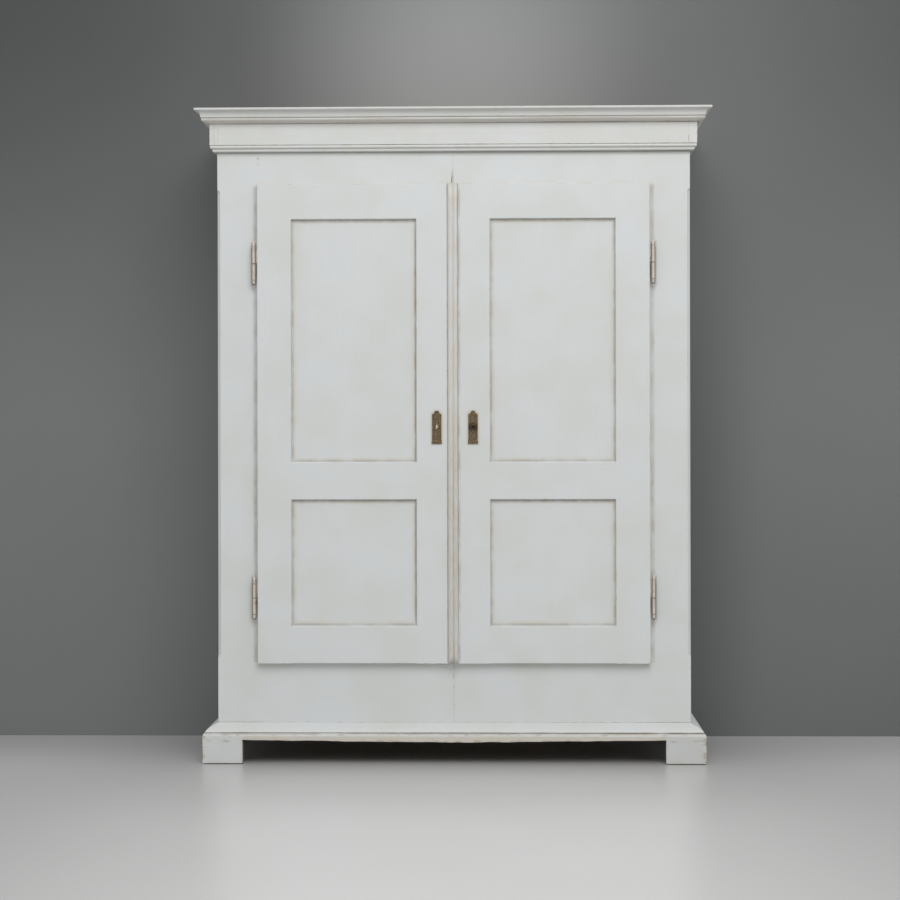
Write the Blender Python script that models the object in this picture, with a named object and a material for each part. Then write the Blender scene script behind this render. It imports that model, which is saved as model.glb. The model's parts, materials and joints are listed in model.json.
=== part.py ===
"""Painted two-door cupboard: two carcass halves on a plinth with block feet, under a lift-off cornice.

Metres, +Z up. The front faces -Y and +X is to the right of someone who looks at it.
The origin is on the floor, in the middle of the overall box.
"""

import math

import bmesh
import bpy
from mathutils import Matrix, Vector

# Clearances
FIT = 0.0003
MITRE_FIT = 0.0005
DOOR_REST_GAP = 0.0005
MEETING_GAP = 0.002

# Carcass: both halves together
CARCASS_WIDTH = 1.467
CARCASS_DEPTH = 0.520
CARCASS_HEIGHT = 1.770
SIDE_THICKNESS = 0.020
PARTITION_THICKNESS = 0.020
BACK_THICKNESS = 0.012
BOTTOM_THICKNESS = 0.022
SHELF_THICKNESS = 0.020
SHELVES_PER_HALF = 2
HOUSING_DEPTH = 0.006
TOP_BOARD_THICKNESS = 0.018

# Face frame
FRAME_THICKNESS = 0.024
FRAME_EASED_EDGE = 0.001
STILE_BESIDE_DOOR = 0.126
DOOR_OVERLAP = 0.019
CENTRE_STILE_WIDTH = 0.040
CORNER_CHAMFER = 0.009
CHAMFER_STOP = 0.022
CHAMFER_ABOVE_DOOR_BASE = 0.020
CHAMFER_BELOW_DOOR_TOP = 0.012

# Plinth
PLINTH_HEIGHT = 0.124
PLINTH_PROJECTION = 0.0435
PLINTH_BOARD = 0.024
PLINTH_LEDGE = 0.025
PLINTH_LEDGE_THICKNESS = 0.026
PLINTH_SHOULDER = 0.086
APRON_BASE = 0.074
FOOT_WIDTH = 0.123
PLINTH_BACK_THICKNESS = 0.020
PLINTH_BACK_BASE = 0.030

# Cornice
FRIEZE_PROJECTION = 0.021
FRIEZE_THICKNESS = 0.026
FRIEZE_HEIGHT = 0.087
BEAD_RADIUS = 0.005
BEAD_PITCH = 0.0105
BEAD_BEHIND_BOARD = 0.001
BEAD_STEP = 0.0065
TONGUE_INSET = 0.002
TONGUE_THICKNESS = 0.010
TONGUE_REACH = 0.003
CROWN_PROJECTION = 0.064
CROWN_HEIGHT = 0.045

# Doors
DOOR_BASE_ABOVE_CARCASS = 0.185
DOOR_BELOW_CARCASS_TOP = 0.101
DOOR_THICKNESS = 0.024
HINGE_STILE_WIDTH = 0.1065
LOCK_STILE_WIDTH = 0.0965
DOOR_TOP_RAIL = 0.109
DOOR_LOCK_RAIL = 0.117
DOOR_BOTTOM_RAIL = 0.117
LOWER_PANEL_HEIGHT = 0.390
PANEL_THICKNESS = 0.007
PANEL_RECESS = 0.011
GROOVE_DEPTH = 0.010
DOOR_EDGE_ROUND = 0.0015
TENON_SHOULDER = 0.002
STRIP_WIDTH = 0.032
STRIP_BASE = 0.004
STRIP_REED = 0.0038
STRIP_QUIRK = 0.0012
REED_STEPS = 6

# Hinges
HINGE_RADIUS = 0.007
HINGE_BARREL = 0.050
HINGE_FINIAL = 0.0235
HINGE_PIN_RADIUS = 0.0035
HINGE_PIN_LENGTH = 0.040
HINGE_PIN_PLAY = 0.0005
HINGE_JOINT_GAP = 0.0006
HINGE_BESIDE_DOOR = 0.0105
HINGE_BEFORE_FRAME = 0.019
HINGE_LEAF_THICKNESS = 0.002
HINGE_LEAF_DEPTH = 0.018
HINGE_LEAF_MARGIN = 0.004
HINGE_LEAF_ROOT = 0.0015
HINGE_PIN_TAPER = 0.0006
HINGE_PIN_TAPER_LENGTH = 0.001
UPPER_HINGE_BELOW_TOP = 0.246
LOWER_HINGE_ABOVE_BASE = 0.202
ROUND_SEGMENTS = 16
SHARP_ANGLE = 35

# Locks and escutcheons
KEYHOLE_ABOVE_DOOR_BASE = 0.731
KEYHOLE_FROM_STRIP = {"left": 0.0350, "right": 0.0450}
KEYHOLE_RADIUS = 0.0032
KEYHOLE_SLOT = 0.0034
KEYHOLE_DROP = 0.010
LOCK_BESIDE_STILE = 0.002
LOCK_WIDTH = 0.068
LOCK_ABOVE_KEYHOLE = 0.045
LOCK_BELOW_KEYHOLE = 0.035
LOCK_THICKNESS = 0.016
LOCK_BACKING = 0.004
LOCK_CASE_EDGE = 0.0008
FINE_METAL_EDGE = 0.0006
BOLT_ABOVE_KEYHOLE = 0.022
BOLT_THICKNESS = 0.008
BOLT_HEIGHT = 0.020
BOLT_LENGTH = 0.050
BOLT_THROW = 0.010
MORTISE_PLAY = 0.001
ESCUTCHEON_HEIGHT = 0.102
ESCUTCHEON_BELOW_KEYHOLE = 0.051
ESCUTCHEON_HALF_WIDTH = 0.0145
ESCUTCHEON_ARCH = 0.0085
ESCUTCHEON_NECK = 0.001
ESCUTCHEON_CORNER = 0.0015
ESCUTCHEON_CORNER_DROP = 0.0035
ESCUTCHEON_THICKNESS = 0.0025
ESCUTCHEON_FOOT_HEIGHT = 0.009
ESCUTCHEON_FOOT_HALF_WIDTH = 0.0155
ESCUTCHEON_FOOT_THICKNESS = 0.004
ESCUTCHEON_FOOT_DROP = 0.0005

# Places that follow from the sizes
HALF = CARCASS_WIDTH / 2
BACK_Y = (CARCASS_DEPTH + CROWN_PROJECTION) / 2
FACE_Y = BACK_Y - CARCASS_DEPTH
FRAME_BACK_Y = FACE_Y + FRAME_THICKNESS
BACK_BOARD_Y = BACK_Y - BACK_THICKNESS
CARCASS_BASE = PLINTH_HEIGHT
CARCASS_TOP = PLINTH_HEIGHT + CARCASS_HEIGHT
DOOR_BASE = CARCASS_BASE + DOOR_BASE_ABOVE_CARCASS
DOOR_TOP = CARCASS_TOP - DOOR_BELOW_CARCASS_TOP
DOOR_EDGE = HALF - STILE_BESIDE_DOOR
DOOR_BACK_Y = FACE_Y - DOOR_REST_GAP
DOOR_FRONT_Y = DOOR_BACK_Y - DOOR_THICKNESS
OPENING_OUTER = DOOR_EDGE - DOOR_OVERLAP
OPENING_BASE = DOOR_BASE + DOOR_OVERLAP
OPENING_TOP = DOOR_TOP - DOOR_OVERLAP
PANEL_INNER = STRIP_WIDTH / 2 + MEETING_GAP + LOCK_STILE_WIDTH
PANEL_OUTER = DOOR_EDGE - HINGE_STILE_WIDTH
KEYHOLE_Z = DOOR_BASE + KEYHOLE_ABOVE_DOOR_BASE
LOCK_INNER = CENTRE_STILE_WIDTH + LOCK_BESIDE_STILE
BOLT_Y = DOOR_BACK_Y + FIT + LOCK_BACKING + BOLT_THICKNESS / 2
BOLT_Z = KEYHOLE_Z + BOLT_ABOVE_KEYHOLE
HINGE_X = DOOR_EDGE + HINGE_BESIDE_DOOR
HINGE_Y = FACE_Y - HINGE_BEFORE_FRAME
CROWN_BASE = CARCASS_TOP + FRIEZE_HEIGHT
SIDES = (("left", -1), ("right", 1))
FREE_EDGE = {"left": STRIP_WIDTH / 2 + MEETING_GAP, "right": -STRIP_WIDTH / 2}
HINGE_CENTRES = {
    "upper": DOOR_TOP - UPPER_HINGE_BELOW_TOP,
    "lower": DOOR_BASE + LOWER_HINGE_ABOVE_BASE,
}

# Looks: linear colour, roughness, metallic
PAINT = ((0.60, 0.61, 0.60), 0.45, 0.0)
BARE_PINE = ((0.42, 0.27, 0.14), 0.65, 0.0)
PAINTED_IRON = ((0.40, 0.34, 0.27), 0.5, 0.2)
DARK_BRASS = ((0.11, 0.08, 0.05), 0.4, 0.9)
IRON = ((0.06, 0.055, 0.05), 0.55, 0.9)
STEEL = ((0.32, 0.31, 0.30), 0.35, 1.0)


def clear_scene():
    for old in list(bpy.data.objects):
        bpy.data.objects.remove(old)


def new_material(name, look):
    colour, roughness, metallic = look
    material = bpy.data.materials.new(name)
    material.use_nodes = True
    shader = material.node_tree.nodes["Principled BSDF"]
    shader.inputs["Base Color"].default_value = (*colour, 1.0)
    shader.inputs["Roughness"].default_value = roughness
    shader.inputs["Metallic"].default_value = metallic
    return material


def joint_empty(name, place, parent=None):
    """An empty on a joint's axis, which carries the pieces that move with it."""
    empty = bpy.data.objects.new(name, None)
    bpy.context.scene.collection.objects.link(empty)
    empty.location = place
    if parent:
        empty.parent = parent
        empty.matrix_parent_inverse = Matrix.Translation(-parent.location)
    return empty


def link_mesh(name, bm, smooth=False):
    bmesh.ops.recalc_face_normals(bm, faces=bm.faces)
    mesh = bpy.data.meshes.new(name)
    bm.to_mesh(mesh)
    bm.free()
    if smooth:
        mesh.shade_smooth()
        mesh.set_sharp_from_angle(angle=math.radians(SHARP_ANGLE))
    made = bpy.data.objects.new(name, mesh)
    bpy.context.scene.collection.objects.link(made)
    return made


def add_part(name, bm, look, carrier=None, smooth=False):
    part = link_mesh(name, bm, smooth)
    part.data.materials.append(new_material(name, look))
    if carrier:
        part.parent = carrier
        part.matrix_parent_inverse = Matrix.Translation(-carrier.location)
    return part


def boolean(part, bm, operation):
    """Cuts a shape from a part or joins it on. The shape stays as a hidden helper."""
    helper = link_mesh(f"helper_{part.name}", bm)
    helper.hide_render = True
    helper.display_type = "WIRE"
    modifier = part.modifiers.new(operation.capitalize(), "BOOLEAN")
    modifier.operation = operation
    modifier.solver = "EXACT"
    modifier.object = helper


def loft(rings):
    """Closed body through rings that each have the same number of points."""
    bm = bmesh.new()
    loops = [[bm.verts.new(point) for point in ring] for ring in rings]
    for lower, upper in zip(loops, loops[1:]):
        for here in range(len(lower)):
            there = (here + 1) % len(lower)
            bm.faces.new((lower[here], lower[there], upper[there], upper[here]))
    bm.faces.new(loops[0])
    bm.faces.new(loops[-1])
    return bm


def prism(outline, axis, span):
    """An outline in the plane across X, Y or Z, drawn out along that axis."""
    if axis == "X":
        rings = [[(at, a, b) for a, b in outline] for at in span]
    elif axis == "Y":
        rings = [[(a, at, b) for a, b in outline] for at in span]
    else:
        rings = [[(a, b, at) for a, b in outline] for at in span]
    return loft(rings)


def box(x, y, z, edge=0.0):
    """A board from (low, high) pairs, with its edges eased by edge."""
    bm = bmesh.new()
    bmesh.ops.create_cube(bm, size=1.0)
    size = (max(x) - min(x), max(y) - min(y), max(z) - min(z))
    centre = (sum(x) / 2, sum(y) / 2, sum(z) / 2)
    bmesh.ops.scale(bm, vec=size, verts=bm.verts)
    bmesh.ops.translate(bm, vec=centre, verts=bm.verts)
    if edge:
        bmesh.ops.bevel(
            bm, geom=bm.edges, offset=edge, segments=1, profile=0.5, affect="EDGES", material=-1
        )
    return bm


def arc(centre, radius, start, end, steps):
    """Points on an arc, from one angle to another in degrees."""
    angles = [math.radians(start + (end - start) * step / steps) for step in range(steps + 1)]
    return [(centre[0] + radius * math.cos(a), centre[1] + radius * math.sin(a)) for a in angles]


def lathe(profile, centre):
    """Turned body from (radius, height) points that start and end on its axis."""
    bm = bmesh.new()
    points = [bm.verts.new((centre[0] + r, centre[1], centre[2] + up)) for r, up in profile]
    edges = [bm.edges.new(pair) for pair in zip(points, points[1:])]
    bmesh.ops.spin(
        bm, geom=points + edges, cent=centre, axis=(0, 0, 1), angle=math.tau,
        steps=ROUND_SEGMENTS, use_merge=True,
    )
    bmesh.ops.remove_doubles(bm, verts=bm.verts, dist=1e-6)
    return bm


def front_run(profile):
    """A moulding along the front, mitred at both ends. Its profile is (projection, height)."""
    return loft([
        [(side * (HALF + out), FACE_Y - out, up) for out, up in profile] for _, side in SIDES
    ])


def side_run(profile, side):
    """The same moulding along one side, from its mitre to the back."""
    return loft([
        [(side * (HALF + out), FACE_Y - out + MITRE_FIT, up) for out, up in profile],
        [(side * (HALF + out), BACK_Y, up) for out, up in profile],
    ])


def plinth_profile():
    """Upright board with a sloped, hollowed top edge and a ledge that the carcass stands on."""
    inner = PLINTH_PROJECTION - PLINTH_BOARD
    ledge_base = PLINTH_HEIGHT - PLINTH_LEDGE_THICKNESS
    out = PLINTH_PROJECTION
    shoulder = PLINTH_SHOULDER
    slope = [
        (out, shoulder),
        (out - 0.0014, shoulder + 0.0055),
        (out - 0.0045, shoulder + 0.0092),
        (out - 0.0065, shoulder + 0.0092),
        (out - 0.0050, shoulder + 0.0112),
        (out - 0.0120, shoulder + 0.0190),
        (out - 0.0200, shoulder + 0.0252),
        (out - 0.0310, shoulder + 0.0310),
        (0.0015, PLINTH_HEIGHT - 0.0012),
        (0.0, PLINTH_HEIGHT),
    ]
    back = [
        (-PLINTH_LEDGE, PLINTH_HEIGHT),
        (-PLINTH_LEDGE, ledge_base),
        (inner, ledge_base),
        (inner, 0.0),
    ]
    return [(out, 0.0)] + slope + back


def make_plinth():
    profile = plinth_profile()
    overrun = 0.01
    outer = HALF + PLINTH_PROJECTION
    front_y = FACE_Y - PLINTH_PROJECTION
    across_board = PLINTH_BOARD + overrun
    front = add_part("plinth_front", front_run(profile), PAINT)
    gap_x = (FOOT_WIDTH - outer, outer - FOOT_WIDTH)
    gap_z = (-overrun, APRON_BASE)
    boolean(front, box(gap_x, (front_y - overrun, front_y + across_board), gap_z), "DIFFERENCE")
    for name, side in SIDES:
        board = add_part(f"plinth_side_{name}", side_run(profile, side), PAINT)
        gap_y = (front_y + FOOT_WIDTH, BACK_Y - FOOT_WIDTH)
        wall_x = (side * (outer + overrun), side * (outer - across_board))
        boolean(board, box(wall_x, gap_y, gap_z), "DIFFERENCE")
    narrow = HALF - PLINTH_LEDGE - FIT
    wide = HALF + PLINTH_PROJECTION - PLINTH_BOARD - FIT
    ledge_base = PLINTH_HEIGHT - PLINTH_LEDGE_THICKNESS - FIT
    outline = [
        (-wide, PLINTH_BACK_BASE),
        (wide, PLINTH_BACK_BASE),
        (wide, ledge_base),
        (narrow, ledge_base),
        (narrow, PLINTH_HEIGHT),
        (-narrow, PLINTH_HEIGHT),
        (-narrow, ledge_base),
        (-wide, ledge_base),
    ]
    span = (BACK_Y - PLINTH_BACK_THICKNESS, BACK_Y)
    add_part("plinth_back_rail", prism(outline, "Y", span), BARE_PINE)


def shelf_tops():
    """Heights of the shelves' upper faces, evenly spaced from the bottom board to the top."""
    pitch = (CARCASS_TOP - OPENING_BASE) / (SHELVES_PER_HALF + 1)
    return [OPENING_BASE + pitch * (level + 1) for level in range(SHELVES_PER_HALF)]


def housed_upright(side, plain, housed):
    """Outline across Y of an upright with a housing for each shelf and for the bottom board."""
    into = math.copysign(HOUSING_DEPTH, plain - housed)
    grooves = [(OPENING_BASE - BOTTOM_THICKNESS, OPENING_BASE)]
    grooves += [(top - SHELF_THICKNESS, top) for top in shelf_tops()]
    outline = [(side * plain, CARCASS_TOP), (side * plain, CARCASS_BASE + FIT)]
    outline += [(side * housed, CARCASS_BASE + FIT)]
    for low, high in grooves:
        outline += [(side * housed, low - FIT), (side * (housed + into), low - FIT)]
        outline += [(side * (housed + into), high + FIT), (side * housed, high + FIT)]
    return outline + [(side * housed, CARCASS_TOP)]


def make_carcass_half(name, side):
    """Side, partition, bottom, shelves and back of one half."""
    side_inner = HALF - SIDE_THICKNESS
    behind_frame = FRAME_BACK_Y + FIT
    outline = housed_upright(side, HALF, side_inner)
    add_part(f"side_panel_{name}", prism(outline, "Y", (behind_frame, BACK_Y)), PAINT)
    outline = housed_upright(side, FIT / 2, PARTITION_THICKNESS)
    depth = (behind_frame, BACK_BOARD_Y - FIT)
    add_part(f"partition_{name}", prism(outline, "Y", depth), BARE_PINE)
    inner = PARTITION_THICKNESS - HOUSING_DEPTH + FIT
    outer = side_inner + HOUSING_DEPTH - FIT
    span = (side * inner, side * outer)
    bottom = (OPENING_BASE - BOTTOM_THICKNESS, OPENING_BASE)
    add_part(f"bottom_board_{name}", box(span, depth, bottom), BARE_PINE)
    for level, top in enumerate(shelf_tops(), start=1):
        board = box(span, depth, (top - SHELF_THICKNESS, top))
        add_part(f"shelf_{name}_{level}", board, BARE_PINE)
    span = (side * FIT / 2, side * (side_inner - FIT))
    board = box(span, (BACK_BOARD_Y, BACK_Y), (CARCASS_BASE + FIT, CARCASS_TOP))
    add_part(f"back_boards_{name}", board, BARE_PINE)


def stopped_chamfer(side):
    """Cutter for the chamfer on a front corner, which runs out to nothing at both ends."""
    beyond = 0.004
    low = DOOR_BASE + CHAMFER_ABOVE_DOOR_BASE
    high = DOOR_TOP - CHAMFER_BELOW_DOOR_TOP
    stations = (
        (low, -beyond / 2),
        (low + CHAMFER_STOP, CORNER_CHAMFER),
        (high - CHAMFER_STOP, CORNER_CHAMFER),
        (high, -beyond / 2),
    )
    rings = []
    for height, cut in stations:
        near = (side * (HALF - cut - beyond), FACE_Y - beyond, height)
        far = (side * (HALF + beyond), FACE_Y + cut + beyond, height)
        outside = (side * (HALF + beyond), FACE_Y - beyond, height)
        rings.append([near, far, outside])
    return loft(rings)


def make_face_frame(name, side):
    """Outer stile, centre stile, top rail and bottom rail of one half."""
    depth = (FACE_Y, FRAME_BACK_Y)
    base = CARCASS_BASE + FIT
    outer = box((side * OPENING_OUTER, side * HALF), depth, (base, CARCASS_TOP), FRAME_EASED_EDGE)
    stile = add_part(f"outer_stile_{name}", outer, PAINT)
    boolean(stile, stopped_chamfer(side), "DIFFERENCE")
    half_leaf = HINGE_LEAF_THICKNESS / 2 + FIT
    for centre in HINGE_CENTRES.values():
        slot_x = (side * (HINGE_X - half_leaf), side * (HINGE_X + half_leaf))
        slot_y = (FACE_Y - HINGE_LEAF_DEPTH, FACE_Y + HINGE_LEAF_DEPTH + FIT)
        slot_z = (centre - HINGE_BARREL + HINGE_LEAF_MARGIN - FIT, centre - HINGE_LEAF_MARGIN + FIT)
        boolean(stile, box(slot_x, slot_y, slot_z), "DIFFERENCE")
    rail_x = (side * FIT / 2, side * (OPENING_OUTER - FIT))
    add_part(f"top_rail_{name}", box(rail_x, depth, (OPENING_TOP, CARCASS_TOP)), PAINT)
    add_part(f"bottom_rail_{name}", box(rail_x, depth, (base, OPENING_BASE)), PAINT)
    centre_x = (side * FIT / 2, side * CENTRE_STILE_WIDTH)
    centre_z = (OPENING_BASE + FIT, OPENING_TOP - FIT)
    centre = add_part(f"centre_stile_{name}", box(centre_x, depth, centre_z), PAINT)
    reach = BOLT_THROW - LOCK_BESIDE_STILE + MORTISE_PLAY
    half_thickness = BOLT_THICKNESS / 2 + MORTISE_PLAY
    half_height = BOLT_HEIGHT / 2 + MORTISE_PLAY
    mortise_x = (side * (CENTRE_STILE_WIDTH - reach), side * (CENTRE_STILE_WIDTH + reach))
    mortise_y = (BOLT_Y - half_thickness, BOLT_Y + half_thickness)
    mortise_z = (BOLT_Z - half_height, BOLT_Z + half_height)
    boolean(centre, box(mortise_x, mortise_y, mortise_z), "DIFFERENCE")


def bead_profile():
    """Two quirked beads, the upper one standing further out, as (projection, height)."""
    inner = FRIEZE_PROJECTION - FRIEZE_THICKNESS
    upper = FRIEZE_PROJECTION - BEAD_RADIUS - BEAD_BEHIND_BOARD
    lower = upper - BEAD_STEP
    base = CARCASS_TOP + FIT
    points = [(inner, base), (lower, base)]
    points += arc((lower, base + BEAD_RADIUS + FIT), BEAD_RADIUS, -75, 75, 4)
    points += arc((upper, base + BEAD_RADIUS + BEAD_PITCH), BEAD_RADIUS, -75, 75, 4)
    top = base + 2 * BEAD_PITCH
    return points + [(upper, top), (inner, top)]


def make_frieze():
    """Boards under the crown. The side boards lap the front one, and the beads are mitred.

    A tongue on each board runs down into its beads, clear of the corners.
    """
    beads = bead_profile()
    base = CARCASS_TOP + 2 * BEAD_PITCH + 2 * FIT
    front_y = FACE_Y - FRIEZE_PROJECTION
    inner = HALF + FRIEZE_PROJECTION - FRIEZE_THICKNESS
    height = (base, CROWN_BASE)
    reach = inner - FIT
    tongue = (TONGUE_INSET, TONGUE_INSET + TONGUE_THICKNESS)
    tongue_z = (base - TONGUE_REACH, base + TONGUE_REACH)
    tongue_y = tuple(front_y + FRIEZE_THICKNESS - across for across in tongue)
    frieze = add_part("frieze_front", front_run(beads), PAINT)
    boolean(frieze, box((tongue[0] - reach, reach - tongue[0]), tongue_y, tongue_z), "UNION")
    boolean(frieze, box((-reach, reach), (front_y, front_y + FRIEZE_THICKNESS), height), "UNION")
    for name, side in SIDES:
        frieze = add_part(f"frieze_{name}", side_run(beads, side), PAINT)
        tongue_x = tuple(side * (inner + across) for across in tongue)
        tongue_y = (FACE_Y + FRIEZE_THICKNESS, BACK_Y - tongue[0])
        boolean(frieze, box(tongue_x, tongue_y, tongue_z), "UNION")
        board = box((side * inner, side * (HALF + FRIEZE_PROJECTION)), (front_y, BACK_Y), height)
        boolean(frieze, board, "UNION")


def crown_profile():
    """Soffit, bead, fillet, cove and top fillet of the crown, as (projection, height)."""
    inner = FRIEZE_PROJECTION - FRIEZE_THICKNESS
    base = CROWN_BASE + FIT
    out = CROWN_PROJECTION
    cove_steps = 5
    cove_foot = (out - 0.0175, base + 0.0215)
    cove_width = 0.0135
    cove_height = CROWN_HEIGHT - 0.0295
    points = [
        (inner, base),
        (FRIEZE_PROJECTION, base),
        (out - 0.032, base + 0.0025),
        (out - 0.0235, base + 0.0065),
    ]
    points += arc((out - 0.0240, base + 0.0112), 0.0044, -70, 75, 4)
    points += [(out - 0.0235, base + 0.0170), (out - 0.0185, base + 0.0172)]
    for step in range(cove_steps + 1):
        turn = math.radians(90 * step / cove_steps)
        points.append((
            cove_foot[0] + cove_width * (1 - math.cos(turn)),
            cove_foot[1] + cove_height * math.sin(turn),
        ))
    top = CROWN_BASE + CROWN_HEIGHT
    return points + [
        (out - 0.0020, top - 0.0075),
        (out, top - 0.0050),
        (out, top - 0.0012),
        (out - 0.0015, top),
        (inner, top),
    ]


def make_crown():
    profile = crown_profile()
    add_part("crown_front", front_run(profile), PAINT)
    for name, side in SIDES:
        add_part(f"crown_{name}", side_run(profile, side), PAINT)


def make_top_board():
    """Dust board of the cornice, which lies on the carcass inside the frieze."""
    reach = HALF + FRIEZE_PROJECTION - FRIEZE_THICKNESS - FIT
    front = FACE_Y - FRIEZE_PROJECTION + FRIEZE_THICKNESS + FIT
    base = CARCASS_TOP + FIT
    board = box((-reach, reach), (front, BACK_Y), (base, base + TOP_BOARD_THICKNESS))
    add_part("top_board", board, BARE_PINE)


def groove_y():
    """Front and back of the groove that holds the door panels."""
    front = DOOR_FRONT_Y + PANEL_RECESS - FIT
    return front, front + PANEL_THICKNESS + 2 * FIT


def door_stile(side, plain, grooved, base, top):
    """Upright with one plain edge and one edge grooved for the panels."""
    toward = math.copysign(1, grooved - plain)
    ease = DOOR_EDGE_ROUND
    front, back = groove_y()
    bed = grooved - toward * GROOVE_DEPTH
    outline = [
        (plain, DOOR_BACK_Y),
        (plain, DOOR_FRONT_Y + ease),
        (plain + toward * ease, DOOR_FRONT_Y),
        (grooved - toward * ease, DOOR_FRONT_Y),
        (grooved, DOOR_FRONT_Y + ease),
        (grooved, front),
        (bed, front),
        (bed, back),
        (grooved, back),
        (grooved, DOOR_BACK_Y),
    ]
    return prism([(side * across, y) for across, y in outline], "Z", (base, top))


def rail_outline(base, top, groove_below, groove_above):
    """Section of a rail, across X, with its panel grooves."""
    ease = DOOR_EDGE_ROUND
    front, back = groove_y()
    outline = [(DOOR_BACK_Y, base)]
    if groove_below:
        outline += [(back, base), (back, base + GROOVE_DEPTH)]
        outline += [(front, base + GROOVE_DEPTH), (front, base)]
    outline += [(DOOR_FRONT_Y + ease, base), (DOOR_FRONT_Y, base + ease)]
    outline += [(DOOR_FRONT_Y, top - ease), (DOOR_FRONT_Y + ease, top)]
    if groove_above:
        outline += [(front, top), (front, top - GROOVE_DEPTH)]
        outline += [(back, top - GROOVE_DEPTH), (back, top)]
    return outline + [(DOOR_BACK_Y, top)]


def add_door_rail(name, side, base, top, groove_below, groove_above, carrier):
    """Rail between the stiles, with a stub tenon that fills their grooves at each end."""
    span = (side * (PANEL_INNER + FIT), side * (PANEL_OUTER - FIT))
    body = prism(rail_outline(base, top, groove_below, groove_above), "X", span)
    rail = add_part(name, body, PAINT, carrier)
    reach = GROOVE_DEPTH - FIT
    front, back = groove_y()
    tenon_x = (side * (PANEL_INNER - reach), side * (PANEL_OUTER + reach))
    tenon_y = (front + FIT, back - FIT)
    low = base + (GROOVE_DEPTH + FIT if groove_below else TENON_SHOULDER)
    high = top - (GROOVE_DEPTH + FIT if groove_above else TENON_SHOULDER)
    boolean(rail, box(tenon_x, tenon_y, (low, high)), "UNION")


def door_levels():
    """Lower edges and upper edges of the rails, from the bottom rail up."""
    bottom = (DOOR_BASE, DOOR_BASE + DOOR_BOTTOM_RAIL)
    lock = (bottom[1] + LOWER_PANEL_HEIGHT, bottom[1] + LOWER_PANEL_HEIGHT + DOOR_LOCK_RAIL)
    top = (DOOR_TOP - DOOR_TOP_RAIL, DOOR_TOP)
    return bottom, lock, top


def keyhole_x(name, side):
    return side * (STRIP_WIDTH / 2 + KEYHOLE_FROM_STRIP[name])


def keyhole(name, side, depth):
    """Round hole over a slot, drawn out along Y."""
    centre = (keyhole_x(name, side), KEYHOLE_Z + KEYHOLE_RADIUS)
    outline = arc(centre, KEYHOLE_RADIUS, -55, 235, 8)
    foot = centre[1] - KEYHOLE_DROP
    outline += [(centre[0] - KEYHOLE_SLOT / 2, foot), (centre[0] + KEYHOLE_SLOT / 2, foot)]
    return prism(outline, "Y", depth)


def make_door(name, side):
    """Framed door with two flat panels, on an empty at its hinge axis."""
    axis = joint_empty(f"{name}_door_axis", Vector((side * HINGE_X, HINGE_Y, DOOR_BASE)))
    bottom, lock, top = door_levels()
    stile = door_stile(side, DOOR_EDGE, PANEL_OUTER, DOOR_BASE, DOOR_TOP)
    stile = add_part(f"{name}_door_hinge_stile", stile, PAINT, axis)
    half_leaf = HINGE_LEAF_THICKNESS / 2 + FIT
    for centre in HINGE_CENTRES.values():
        slot_x = (side * (DOOR_EDGE - HINGE_LEAF_DEPTH - FIT), side * (DOOR_EDGE + HINGE_LEAF_DEPTH))
        slot_y = (HINGE_Y - half_leaf, HINGE_Y + half_leaf)
        slot_z = (centre + HINGE_LEAF_MARGIN - FIT, centre + HINGE_BARREL - HINGE_LEAF_MARGIN + FIT)
        boolean(stile, box(slot_x, slot_y, slot_z), "DIFFERENCE")
    stile = door_stile(side, FREE_EDGE[name], PANEL_INNER, DOOR_BASE, DOOR_TOP)
    stile = add_part(f"{name}_door_lock_stile", stile, PAINT, axis)
    through = (DOOR_FRONT_Y - DOOR_THICKNESS, DOOR_BACK_Y + DOOR_THICKNESS)
    boolean(stile, keyhole(name, side, through), "DIFFERENCE")
    add_door_rail(f"{name}_door_bottom_rail", side, *bottom, False, True, axis)
    add_door_rail(f"{name}_door_lock_rail", side, *lock, True, True, axis)
    add_door_rail(f"{name}_door_top_rail", side, *top, True, False, axis)
    front, back = groove_y()
    reach = GROOVE_DEPTH - FIT
    panel_x = (side * (PANEL_INNER - reach), side * (PANEL_OUTER + reach))
    panel_y = (front + FIT, back - FIT)
    for place, low, high in (("lower", bottom[1], lock[0]), ("upper", lock[1], top[0])):
        panel = box(panel_x, panel_y, (low - reach, high + reach))
        add_part(f"{name}_door_{place}_panel", panel, PAINT, axis)
    return axis


def make_cover_strip(carrier):
    """Reeded strip on the right door's meeting edge, over the join between the doors."""
    back = DOOR_FRONT_Y - FIT
    half = STRIP_WIDTH / 2
    reed_half = (half - STRIP_QUIRK) / 2
    outline = [(half, back), (-half, back)]
    for side in (-1, 1):
        middle = side * (STRIP_QUIRK / 2 + reed_half)
        for step in range(REED_STEPS + 1):
            turn = math.radians(180 - 180 * step / REED_STEPS)
            across = middle + reed_half * math.cos(turn)
            outline.append((across, back - STRIP_BASE - STRIP_REED * math.sin(turn)))
    strip = prism(outline, "Z", (DOOR_BASE, DOOR_TOP))
    add_part("meeting_cover_strip", strip, PAINT, carrier, smooth=True)


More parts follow.
